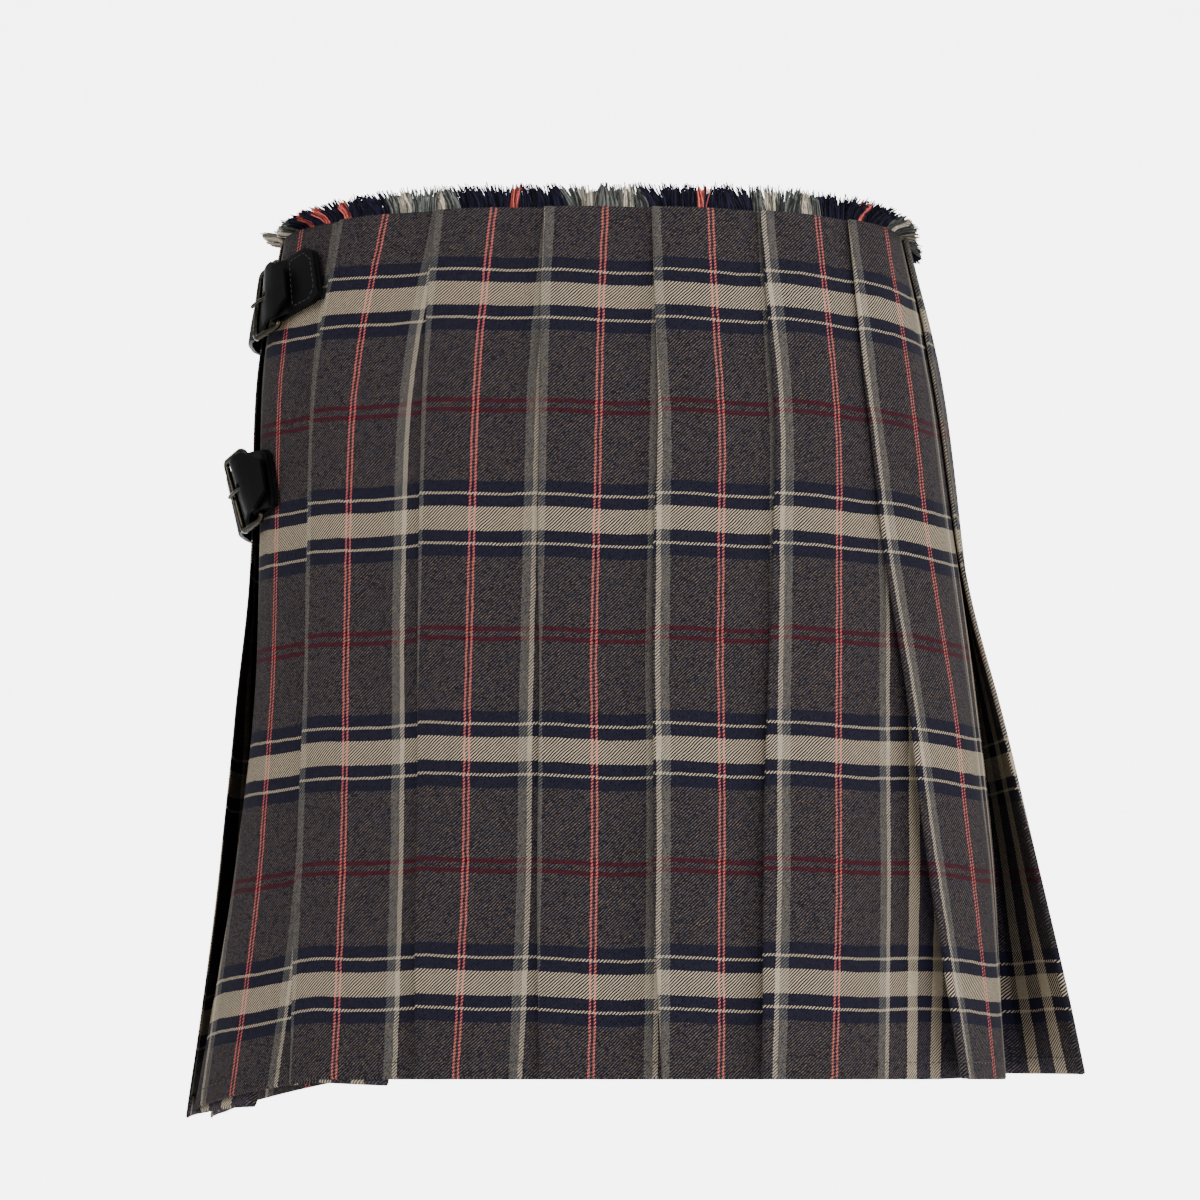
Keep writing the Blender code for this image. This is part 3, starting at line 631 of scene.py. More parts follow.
def wool_tartan(cloth):
    """Fulled worsted wool in a 2/2 twill, woven in a tartan.

    Wales climb from lower left to upper right as soft ridges, with painted highlight on the ridges and
    painted shade in the grooves between them, loose fibres make the surface matt with a faint sheen at
    grazing angles, and heather yarn flecks the ground.
    """
    constants = {
        "Roughness": 0.86,
        "IOR": 1.47,
        "Specular IOR Level": 0.08,
        "Sheen Weight": 0.02,
        "Sheen Roughness": 0.45,
        "Sheen Tint": (0.75, 0.72, 0.70, 1.0),
    }
    made, tree, shader = new_material("wool_tartan_twill", constants)
    threads = {name: getattr(cloth, name) for name in HEATHER}

    # Threads waver a little from straight
    flat = add_node(tree, "ShaderNodeUVMap", {"uv_map": "cloth_mm"}).outputs[0]
    waver = noise(tree, flat, 0.11, 2.0, "2D").outputs[1]
    centred = vector_maths(tree, "SUBTRACT", waver, (0.5, 0.5, 0.5))
    place = vector_maths(tree, "ADD", flat, scaled(tree, centred, 0.9))
    across, up, _ = add_node(tree, "ShaderNodeSeparateXYZ", None, {0: place}).outputs

    # Colours of the threads that cross here
    reach = TAKE_UP / 2.0
    warp = thread_colours(tree, maths(tree, "PINGPONG", across, reach), reach, WARP_BANDS, threads)
    reach = WEFT_REPEAT / 2.0
    lowered = maths(tree, "SUBTRACT", up, WEFT_MIDDLE)
    weft = thread_colours(tree, maths(tree, "PINGPONG", lowered, reach), reach, WEFT_BANDS, threads)

    # The twill: two threads over and two under, stepping one thread each row
    columns = maths(tree, "DIVIDE", across, cloth.warp_pitch / MM)
    rows = maths(tree, "DIVIDE", up, cloth.weft_pitch / MM)
    wale = maths(tree, "MULTIPLY", maths(tree, "SUBTRACT", columns, rows), 0.25)
    wave = maths(tree, "SINE", maths(tree, "MULTIPLY", wale, 2.0 * math.pi))
    on_top = remapped(tree, wave, (-0.45, 0.1), (0.0, 1.0), "SMOOTHSTEP")
    spun_warp = spun(tree, warp, wale, columns, 3.0)
    spun_weft = spun(tree, weft, wale, rows, 8.0)
    woven = mixed(tree, on_top, spun_weft, spun_warp)

    # Painted shade darkens the grooves between the wales and painted highlight lightens the ridges; the
    # bump also makes the grooves lower
    ridge = maths(tree, "ABSOLUTE", wave)
    tint(tree, shader, woven, remapped(tree, ridge, (0.0, 0.7), (0.25, 1.22)))
    fuzz = noise(tree, flat, 2.2, 3.0, "2D").outputs[0]
    add_bump(tree, shader, 0.55, 0.00016, maths(tree, "MULTIPLY_ADD", fuzz, 0.5, ridge))
    return made


def frayed_yarn(name, colour, spread):
    """Loosened worsted yarn: matt fibres, lighter where they part, with no two yarns quite alike."""
    constants = {"Roughness": 0.9, "IOR": 1.47, "Specular IOR Level": 0.1, "Sheen Weight": 0.03}
    made, tree, shader = new_material(name, constants)
    fibres = noise(tree, object_place(tree), 900.0, 2.0).outputs[0]
    level = remapped(tree, fibres, (0.3, 0.7), (1.0 - spread, 1.0 + spread))
    tint(tree, shader, colour, level)
    return made


def sewing_thread(name, colour):
    """Polyester thread: twisted plies shown by painted shade and highlight in diagonal bands, slightly
    shiny along the top of each stitch.
    """
    made, tree, shader = new_material(name, {"Roughness": 0.55, "IOR": 1.5})
    twist = {"Vector": object_place(tree), "Scale": 700.0, "Distortion": 1.0}
    painted_ply_shade = add_node(tree, "ShaderNodeTexWave", {"bands_direction": "DIAGONAL"}, twist).outputs[1]
    # Painted shade and highlight in bands along the twist of the plies
    level = remapped(tree, painted_ply_shade, (0.0, 1.0), (0.75, 1.25))
    tint(tree, shader, colour, level)
    return made


def bridle_leather(colour):
    """Dyed and waxed cowhide: a fine pebble grain, a satin wax finish and duller rubbed places."""
    constants = {"Roughness": 0.4, "IOR": 1.5, "Specular IOR Level": 0.1}
    made, tree, shader = new_material("waxed_black_leather", constants)
    place = object_place(tree)
    pebbles = {"Vector": place, "Scale": 1500.0, "Smoothness": 0.6}
    grain = add_node(tree, "ShaderNodeTexVoronoi", {"feature": "SMOOTH_F1"}, pebbles).outputs[0]
    clouds = noise(tree, place, 60.0, 5.0).outputs[0]
    tree.links.new(remapped(tree, clouds, (0.3, 0.75), (0.48, 0.66)), shader.inputs["Roughness"])
    level = remapped(tree, clouds, (0.3, 0.75), (0.8, 1.3))
    tint(tree, shader, colour, level)
    add_bump(tree, shader, 0.35, 0.0001, grain)
    return made


def gunmetal_plating(colour):
    """Steel wire, tumbled and plated dark: a soft shine with fine rubbing marks and a bronze cast."""
    constants = {"Roughness": 0.3, "IOR": 1.5, "Metallic": 1.0}
    made, tree, shader = new_material("gunmetal_plated_steel", constants)
    rubbed = noise(tree, object_place(tree), 420.0, 4.0).outputs[0]
    tree.links.new(remapped(tree, rubbed, (0.3, 0.7), (0.2, 0.38)), shader.inputs["Roughness"])
    level = remapped(tree, rubbed, (0.3, 0.7), (0.85, 1.1))
    tint(tree, shader, colour, level)
    return made


def studio_paper(colour, painted_glow):
    """Seamless background paper: matt and even, with a painted glow, the paper itself giving off light,
    over a soft circle at the back.
    """
    paper = opaque(colour)
    constants = {"Roughness": 0.95, "IOR": 1.5, "Base Color": paper, "Emission Color": paper}
    made, tree, shader = new_material("studio_paper", constants)
    x, y, z = add_node(tree, "ShaderNodeSeparateXYZ", None, {0: object_place(tree)}).outputs
    flat = add_node(tree, "ShaderNodeCombineXYZ", None, {"X": x, "Z": z}).outputs[0]
    away = add_node(tree, "ShaderNodeVectorMath", {"operation": "DISTANCE"}, {0: flat, 1: PAINTED_GLOW_MIDDLE})
    circle = remapped(tree, away.outputs["Value"], (2.6, 1.4), (0.0, 1.0), "SMOOTHSTEP")
    # Painted glow: the paper emits light over a soft circle at the back
    behind = remapped(tree, y, (2.4, 3.6), (0.0, painted_glow), "SMOOTHSTEP")
    tree.links.new(maths(tree, "MULTIPLY", circle, behind), shader.inputs["Emission Strength"])
    return made


def smooth(value, start, end):
    """0 before start, 1 after end, and an S-curve between."""
    share = min(max((value - start) / (end - start), 0.0), 1.0)
    return share * share * (3.0 - 2.0 * share)


def before(arc, edge, span):
    """The same between two distances before an edge."""
    return smooth(arc, edge - span[0], edge - span[1])


def past(arc, edge, span):
    """The same between two distances past an edge."""
    return smooth(arc, edge + span[0], edge + span[1])


def curve_through(x, xs, ys):
    """A smooth curve through the table's points, without overshoot between equal ones."""
    xs = np.asarray(xs, float)
    ys = np.asarray(ys, float)
    x = min(max(x, xs[0]), xs[-1])
    slopes = np.diff(ys) / np.diff(xs)
    tangents = np.concatenate([[slopes[0]], (slopes[:-1] + slopes[1:]) / 2.0, [slopes[-1]]])
    flat = np.concatenate([[False], slopes[:-1] * slopes[1:] <= 0.0, [False]])
    tangents[flat] = 0.0
    i = int(min(np.searchsorted(xs, x, side="right") - 1, len(xs) - 2))
    h = xs[i + 1] - xs[i]
    t = (x - xs[i]) / h
    return float(
        (2 * t**3 - 3 * t**2 + 1) * ys[i]
        + (t**3 - 2 * t**2 + t) * h * tangents[i]
        + (3 * t**2 - 2 * t**3) * ys[i + 1]
        + (t**3 - t**2) * h * tangents[i + 1]
    )


class Oval:
    """The body of the skirt at one height, walked by arc length."""

    known = {}

    def __init__(self, below):
        middle, half, back, front = (curve_through(below, OVALS[:, 0], OVALS[:, i]) for i in range(1, 5))
        turn = np.linspace(-2.0 * math.pi, 2.0 * math.pi, 4 * HALF_TURN + 1)
        depth = np.where(np.cos(turn) > 0.0, back, front)
        wide = np.abs(np.sin(turn) / half) ** OVAL_POWER
        deep = np.abs(np.cos(turn) / depth) ** OVAL_POWER
        radius = (wide + deep) ** (-1.0 / OVAL_POWER)
        self.x = middle + radius * np.sin(turn)
        self.y = -radius * np.cos(turn)
        steps = np.hypot(np.diff(self.x), np.diff(self.y))
        self.arc = np.concatenate([[0.0], np.cumsum(steps)])
        self.arc -= self.arc[2 * HALF_TURN]
        self.round = self.arc[3 * HALF_TURN] - self.arc[HALF_TURN]
        run = np.hypot(np.gradient(self.x), np.gradient(self.y))
        self.nx = np.gradient(self.y) / run
        self.ny = -np.gradient(self.x) / run

    @classmethod
    def at(cls, below):
        key = round(below, 2)
        if key not in cls.known:
            cls.known[key] = cls(key)
        return cls.known[key]

    def place(self, arcs, offsets):
        """World x and y, in mm, of places given by arc and offset."""
        x, y, nx, ny = (np.interp(arcs, self.arc, v) for v in (self.x, self.y, self.nx, self.ny))
        size = np.hypot(nx, ny)
        return x + nx / size * offsets, y + ny / size * offsets


def relief(oval, arcs, drop):
    """How far the creases move the cloth outwards at one drop."""
    arcs = np.atleast_1d(np.asarray(arcs, float))
    turn, at, lean, length, width, depth = CREASES.T
    down = drop - at
    middle = turn / 360.0 * oval.round + lean * down
    aside = arcs[:, None] - middle[None, :]
    aside -= np.round(aside / oval.round) * oval.round
    lifts = depth * np.exp(-((aside / width) ** 2)) * np.exp(-((down / length) ** 2))
    return lifts.sum(axis=1)


def quiet(oval, arcs, drop):
    """1 on open cloth and 0 under the leather fastenings, where the cloth is held flat."""
    share = np.ones(len(arcs))
    for _, arc, height, *_ in FASTENINGS:
        aside = np.asarray(arcs) - arc
        aside -= np.round(aside / oval.round) * oval.round
        near = np.clip((np.abs(aside + QUIET_AHEAD) - QUIET_LENGTH) / QUIET_FADE, 0.0, 1.0)
        level = min(max((abs(drop + height) - QUIET_HEIGHT) / QUIET_FADE, 0.0), 1.0)
        share = np.minimum(share, np.maximum(near, level))
    return share


class Section:
    """The folded cloth at one drop: paths of arc, offset, sag and place across the flat cloth."""

    def __init__(self, drop):
        self.drop = drop
        self.hidden_runs = []  # first and last places of the parts that are spread out evenly
        self.oval = Oval.at(BACK_HEIGHT * drop / CLOTH_LENGTH)
        self.fold = [curve_through(drop, DROPS, row) for row in FOLD_ARCS]
        self.coral = [curve_through(drop, DROPS, row) for row in CORAL_ARCS]
        open_share = curve_through(drop, LIFT_DROPS, LIFT_SHARES)
        self.layer = [LAYER + (row[0] - LAYER) * smooth(drop, SPREAD_FROM, CLOTH_LENGTH) for row in PLEATS]
        self.lift = [row[1] * open_share for row in PLEATS]
        self.reach = [row[2] for row in PLEATS]
        self.sag = [row[3] for row in PLEATS]
        self.last = len(self.fold) - 1
        self.pitch = [self.fold[k + 1] - self.fold[k] for k in range(self.last)]
        self.pitch.append(self.pitch[-1])
        self.depth = []
        for k in range(self.last + 1):
            previous = self.pitch[max(k - 1, 0)]
            extra = self.lift[k] ** 2 / (4.0 * self.reach[k])
            depth = (TAKE_UP - (previous + self.pitch[k]) / 2.0) / 2.0 - extra
            self.depth.append(min(depth, self.pitch[k] - DEPTH_SHORT))

    def raised(self, k, arc):
        """How far a fold edge that swings out carries its two layers off the body."""
        return self.lift[k] * math.exp(-max(arc - self.fold[k], 0.0) / self.reach[k])

    def rest(self, k, arc):
        """Offset of the face of pleat k without its own swing, also where it runs on under the next."""
        if k < self.last and arc > self.fold[k + 1]:
            return self.rest(k + 1, arc) - 2.0 * self.layer[k + 1]
        if k == self.last:
            return 0.0
        share = (arc - self.fold[k]) / self.pitch[k]
        return -2.0 * self.layer[k + 1] * smooth(share, *SETTLING)

    def face(self, k, arc):
        return self.rest(k, arc) + self.raised(k, arc)

    def middle(self, k, arc):
        return self.face(k, arc) - self.layer[k]

    def inner(self, k, arc):
        """The cloth of the pleat before, under pleat k."""
        return self.rest(k, arc) - 2.0 * self.layer[k]

    def flat_face(self, k, arc):
        """Place across the flat cloth on the face of pleat k, measured from the first coral line."""
        return k * TAKE_UP + arc - self.coral[k]

    def flat_under(self, k, share):
        """The same on the inner layer under pleat k."""
        if k == 0:
            return self.flat_face(0, self.fold[0]) - (2.0 - share) * self.depth[0]
        return self.flat_face(k - 1, self.fold[k] + share * self.depth[k])

    def outer_fold(self, k):
        """From the middle layer round the visible fold edge to the face."""
        radius = self.layer[k] / 2.0
        centre = self.face(k, self.fold[k]) - radius
        flat = self.flat_face(k, self.fold[k])
        path = []
        for i in range(FOLD_TURNS + 1):
            angle = math.radians(270.0 - 180.0 * i / FOLD_TURNS)
            left = (1.0 - i / FOLD_TURNS) * math.pi * radius
            place = (self.fold[k] + radius * math.cos(angle), centre + radius * math.sin(angle))
            path.append((*place, self.sag[k] * EDGE_SAG, flat - left))
        return path

    def inner_fold(self, k):
        """From the cloth of the pleat before round the hidden fold to the middle layer."""
        arc = self.fold[k] + self.depth[k]
        low = self.inner(k, arc)
        high = self.middle(k, arc)
        radius = (high - low) / 2.0
        bulge = min(radius, FOLD_BULGE)
        path = []
        for i in range(FOLD_TURNS + 1):
            angle = math.radians(-90.0 + 180.0 * i / FOLD_TURNS)
            place = (arc + bulge * math.cos(angle), (low + high) / 2.0 + radius * math.sin(angle))
            path.append((*place, self.sag[k], self.flat_under(k, 1.0) + i / FOLD_TURNS * math.pi * bulge))
        return path

    def under(self, k, share, shift=0.0):
        """The inner layer under pleat k, at a share of the pleat's depth."""
        arc = self.fold[k] + share * self.depth[k] + shift
        return (arc, self.inner(k, arc), self.sag[k] * share, self.flat_under(k, share))

    def hidden(self, k, start=0.0):
        """Under pleat k: its inner layer from a share of its depth, hidden fold, middle, fold edge."""
        path = [self.under(k, share) for share in STATIONS if share >= start]
        back = self.inner_fold(k)
        edge = self.outer_fold(k)
        path += back
        for share in STATIONS[:0:-1]:
            arc = self.fold[k] + share * self.depth[k]
            flat = edge[0][3] + (back[-1][3] - edge[0][3]) * share
            sag = self.sag[k] * (EDGE_SAG + (1.0 - EDGE_SAG) * share)
            path.append((arc, self.middle(k, arc), sag, flat))
        return path + edge

    def visible(self, k):
        """The face of pleat k up to where the next fold edge covers it."""
        deep = self.depth[k]
        beyond = self.pitch[k] - FACE_SHORT - deep
        stations = [share * deep for share in STATIONS[1:]]
        stations += [deep + beyond * i / (FACE_POINTS - 1) for i in range(FACE_POINTS)]
        path = []
        for along in stations:
            arc = self.fold[k] + along
            path.append((arc, self.face(k, arc), 0.0, self.flat_face(k, arc)))
        return path

    def row(self, path):
        """World points, in metres, of a path at this drop, and their places on the flat cloth, in mm."""
        arcs, offsets, sags, flats = (np.array(column, float) for column in zip(*path, strict=True))
        share = self.drop / CLOTH_LENGTH
        wrap = np.where(arcs > WRAP_ARC, arcs - self.oval.round, arcs)
        lower = np.interp(wrap, HEM[:, 0], HEM[:, 1]) * share**2 + sags * share**4
        soft = relief(self.oval, arcs, self.drop) * quiet(self.oval, arcs, self.drop)
        x, y = self.oval.place(arcs, offsets + soft)
        z = -(BACK_HEIGHT * share + lower)
        points = np.column_stack([x, y, z]) * MM
        for start, end in self.hidden_runs:
            steps = np.linalg.norm(np.diff(points[start : end + 1], axis=0), axis=1)
            run = np.concatenate([[0.0], np.cumsum(steps)]) / steps.sum()
            flats[start : end + 1] = flats[start] + run * (flats[end] - flats[start])
        return points, flats


def pleated_path(section):
    """The pleated back, between joins hidden under its first and last pleats."""
    last = section.last
    path = [section.under(0, JOIN, CLEAR)] + section.hidden(0, start=PAST_JOIN)
    for k in range(last):
        path += section.visible(k)
        if k < last - 1:
            start = len(path) - 1
            path += section.hidden(k + 1)
            section.hidden_runs.append((start, len(path) - 1))
    path += [section.under(last, share) for share in STATIONS if share < PAST_JOIN]
    return path


def apron_out(drop, round_, arc):
    """How far the over apron stands out as it nears its free edge."""
    end = round_ + curve_through(drop, DROPS, OVER_EDGE_ARCS)
    return curve_through(drop, DROPS, OVER_EDGE_STAND) * before(arc, end, OVER_EDGE_RISE)


def straight_grain(section, arc):
    """The aprons hang with a coral line straight down the middle of the front."""
    return FRONT_REPEATS * TAKE_UP + arc - section.oval.round / 2.0


def over_apron_path(section):
    """From the hidden join under the last pleat, round the front, to the free edge at the left."""
    last = section.last
    end = section.oval.round + curve_through(section.drop, DROPS, OVER_EDGE_ARCS)
    start = section.fold[last]
    path = [section.under(last, JOIN, CLEAR)] + section.hidden(last, start=PAST_JOIN)
    turn = straight_grain(section, start) - path[-1][3]
    path = [(arc, offset, sag, flat + turn) for arc, offset, sag, flat in path]
    for i in range(1, APRON_STEPS + 1):
        arc = start + i / APRON_STEPS * (end - start)
        out = apron_out(section.drop, section.oval.round, arc)
        path.append((arc, section.face(last, arc) + out, 0.0, straight_grain(section, arc)))
    return path


def under_offset(section, arc):
    """Offset of the under apron, which slips inside the over apron and the last pleats."""
    back = section.fold[0]
    tuck = curve_through(section.drop, DROPS, UNDER_TUCK)
    hip = section.fold[-1] + section.depth[-1] - section.oval.round
    level = -UNDER_INSIDE
    level += (UNDER_INSIDE - 2.0 * section.layer[0]) * before(arc, back, UNDER_RISE)
    level -= (tuck - UNDER_INSIDE) * (1.0 - past(arc, hip, UNDER_FALL))
    return level


def under_apron_path(section):
    """From the free edge inside the wearer's right, round the front, to the join under the first pleat."""
    round_ = section.oval.round
    start = curve_through(section.drop, DROPS, UNDER_EDGE_ARCS) - round_
    end = section.fold[0]
    path = []
    for i in range(APRON_STEPS):
        arc = start + i / APRON_STEPS * (end - start)
        path.append((arc, under_offset(section, arc), 0.0))
    path += [section.under(0, share)[:3] for share in STATIONS if share < PAST_JOIN]
    return [(arc, offset, sag, straight_grain(section, arc + round_)) for arc, offset, sag in path]


def finish_piece(thing):
    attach(thing, BODY)
    return thing


def link(name, data):
    thing = bpy.data.objects.new(name, data)
    bpy.context.scene.collection.objects.link(thing)
    return thing


def grid_mesh(name, points, flats=None):
    """A sheet with one point of a grid at each place: points is rows x columns x 3, flats in mm."""
    down, across = points.shape[:2]
    bm = bmesh.new()
    bmesh.ops.create_grid(bm, x_segments=across - 1, y_segments=down - 1, size=1.0)
    mesh = bpy.data.meshes.new(name)
    bm.to_mesh(mesh)
    bm.free()
    flat_grid = np.empty(len(mesh.vertices) * 3)
    mesh.vertices.foreach_get("co", flat_grid)
    flat_grid = flat_grid.reshape(-1, 3)
    order = np.lexsort((flat_grid[:, 0].round(5), flat_grid[:, 1].round(5)))
    place = np.empty((len(order), 3))
    place[order] = points.reshape(-1, 3)
    mesh.vertices.foreach_set("co", place.ravel())
    if flats is not None:
        spots = np.empty((len(order), 2))
        spots[order] = flats.reshape(-1, 2)
        corners = np.empty(len(mesh.loops), dtype=np.int32)
        mesh.loops.foreach_get("vertex_index", corners)
        layer = mesh.uv_layers.new(name="cloth_mm")
        layer.uv.foreach_set("vector", spots[corners].ravel())
    mesh.shade_smooth()
    mesh.update()
    return mesh


def thicken(thing, wall):
    """Give a sheet its thickness, half on each side."""
    solid = thing.modifiers.new("wall", "SOLIDIFY")
    solid.thickness = wall
    solid.offset = 0.0
    solid.use_even_offset = True
    solid.use_quality_normals = True


def evaluated_mesh(thing):
    """A new mesh of the shape that an object has with its modifiers and bevels."""
    bpy.context.view_layer.update()
    return bpy.data.meshes.new_from_object(thing.evaluated_get(bpy.context.evaluated_depsgraph_get()))


def apply_modifiers(thing):
    """Keep the shape that the modifiers of a mesh object give and drop them."""
    made = evaluated_mesh(thing)
    old = thing.data
    thing.modifiers.clear()
    thing.data = made
    made.name = thing.name
    bpy.data.meshes.remove(old)


def curve_to_mesh(thing):
    """Replace a curve object by a mesh object of the same name."""
    name = thing.name
    curve = thing.data
    mesh = evaluated_mesh(thing)
    bpy.data.objects.remove(thing, do_unlink=True)
    bpy.data.curves.remove(curve)
    mesh.name = name
    mesh.shade_smooth()
    return link(name, mesh)


def new_curve(name):
    curve = bpy.data.curves.new(name, "CURVE")
    curve.dimensions = "3D"
    return curve


def add_spline(curve, points, radii=None):
    """A run of straight steps through points, shaded smooth, with a radius for each if they differ."""
    spline = curve.splines.new("POLY")
    spline.points.add(len(points) - 1)
    for i, place in enumerate(points):
        spline.points[i].co = (*place, 1.0)
        if radii is not None:
            spline.points[i].radius = radii[i]
    spline.use_smooth = True
    return spline


def right_side(points):
    """Unit normals on the right side of the cloth, from the path's direction and the upright."""
    run = np.gradient(points, axis=0)
    out = np.column_stack([run[:, 1], -run[:, 0], np.zeros(len(run))])
    return out / np.maximum(np.linalg.norm(out, axis=1), 1e-9)[:, None]


class ClothPanel:
    """One cut panel: rows of points from the hem's turn-up to the waist edge."""

    def __init__(self, name, path_of, cloth):
        self.name = name
        self.cloth = cloth
        self.path_of = path_of
        steps = round(CLOTH_LENGTH * MM / cloth.row_spacing)
        self.drops = [CLOTH_LENGTH * i / steps for i in range(steps + 1)]
        sections = [Section(drop) for drop in self.drops]
        rows = [section.row(path_of(section)) for section in sections]
        self.points = np.array([row[0] for row in rows])
        self.flats = np.array([row[1] for row in rows])

    def lifted(self, flats):
        """How far the weft lies above its usual height, pleat by pleat and bowed between the folds."""
        centres = np.arange(len(PLEATS)) * TAKE_UP
        step = np.interp(flats, centres, PLEATS[:, 4])
        return step + WEFT_BOW * np.sin(flats / TAKE_UP * 4.0 * math.pi + 0.6)

    def turned_up(self):
        """The hem folded up inside: rows just inside the lowest rows."""
        hem, above = self.points[-1], self.points[-2]
        inside = -right_side(hem)
        spacing = (self.drops[-1] - self.drops[-2]) * MM
        gap = 1.05 * self.cloth.wall + 0.1 * MM
        turn_up = self.cloth.turn_up
        rows = []
        for inwards, up in ((0.5, -0.0004), (1.0, 0.0004), (1.0, turn_up / 2.0), (1.0, turn_up)):
            rows.append((hem + (above - hem) * (up / spacing) + inside * gap * inwards, -up / MM))
        return rows

    def build(self, material):
        points = list(self.points)
        heights = [CLOTH_LENGTH - drop for drop in self.drops]
        for row, height in self.turned_up():
            points.append(row)
            heights.append(height)
        across = self.flats
        extra = len(points) - len(across)
        across = np.vstack([across, np.repeat(across[-1:], extra, axis=0)])
        ups = np.array(heights)[:, None] + self.lifted(across)
        grid = np.array(points)[::-1]
        flats = np.dstack([across, ups])[::-1]
        mesh = grid_mesh(self.name, grid, flats)
        mesh.materials.append(material)
        thing = link(self.name, mesh)
        thicken(thing, self.cloth.wall)
        return finish_piece(thing)

    def stitch_line(self, above_hem):
        """Points of a line of sewing on the right side, at a height above the hem."""
        drop = CLOTH_LENGTH - above_hem / MM
        section = Section(drop)
        points, _ = section.row(self.path_of(section))
        return points + right_side(points) * (self.cloth.wall / 2.0 + STITCH_STAND)


def stitches(name, lines, length, gap, radius, material, slot_name):
    """Short stitches of thread along lines of points, each a bent bar that dips in at both ends.

    lines holds (points, outward directions) in metres.
    """
    curve = new_curve(name)
    curve.bevel_depth = radius
    curve.bevel_resolution = 1
    curve.use_fill_caps = True
    for points, outs in lines:
        runs = np.concatenate([[0.0], np.cumsum(np.linalg.norm(np.diff(points, axis=0), axis=1))])
        at = gap
        while at + length < runs[-1]:
            bar = []
            for share, sink in STITCH_SHAPE:
                where = at + length * share
                place = np.array([np.interp(where, runs, points[:, i]) for i in range(3)])
                out = np.array([np.interp(where, runs, outs[:, i]) for i in range(3)])
                bar.append(place - out * sink * 2.0 * radius)
            add_spline(curve, bar)
            at += length + gap
    curve.materials.append(material)
    finish_piece(curve_to_mesh(link(name, curve)))


class KILT_OT_cloth(bpy.types.Operator):
    """Cut, pleat and hang the three panels of cloth, and sew the hem and the fell."""

    bl_idname = "kilt.cloth"
    bl_label = "Hang Cloth"
    bl_options = {"REGISTER", "UNDO"}

    def execute(self, context):
        cloth = context.scene.kilt_cloth
        twill = wool_tartan(cloth)
        thread = sewing_thread("dark_sewing_thread", cloth.thread)
        lines = []
        for node, path_of in (
            ("pleated_back", pleated_path),
            ("over_apron", over_apron_path),
            ("under_apron", under_apron_path),
        ):
            panel = ClothPanel(node + "_cloth", path_of, cloth)
            piece = panel.build(twill)
            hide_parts(node)
            hem = panel.stitch_line(cloth.hem_stitch)
            lines.append((hem, right_side(hem)))
        size = (cloth.stitch, cloth.stitch_gap, HEM_STITCH_RADIUS)
        stitches("hem_stitching", lines, *size, thread, "wool_twill")
        stitches("fell_stitching", self.fell_lines(), *FELL_STITCH, thread, "wool_twill")
        return {"FINISHED"}

    @staticmethod
    def fell_lines():
        """Small slip stitches that hold each fold edge down to the fell."""
        lines = []
        for k in range(len(FOLD_ARCS)):
            drop = FELL_START
            while drop < FELL:
                section = Section(drop)
                edge = section.fold[k] - section.layer[k] / 2.0
                left, right = edge - FELL_REACH, edge + FELL_REACH
                low = section.inner(k, edge) + FELL_STANDS[0]
                high = section.face(k, right) + FELL_STANDS[1]
                points, _ = section.row([(left, low, 0.0, 0.0), (right, high, 0.0, 0.0)])
                points[1][2] -= FELL_SLANT
                lines.append((points, right_side(points)))
                drop += FELL_STEP
        return lines


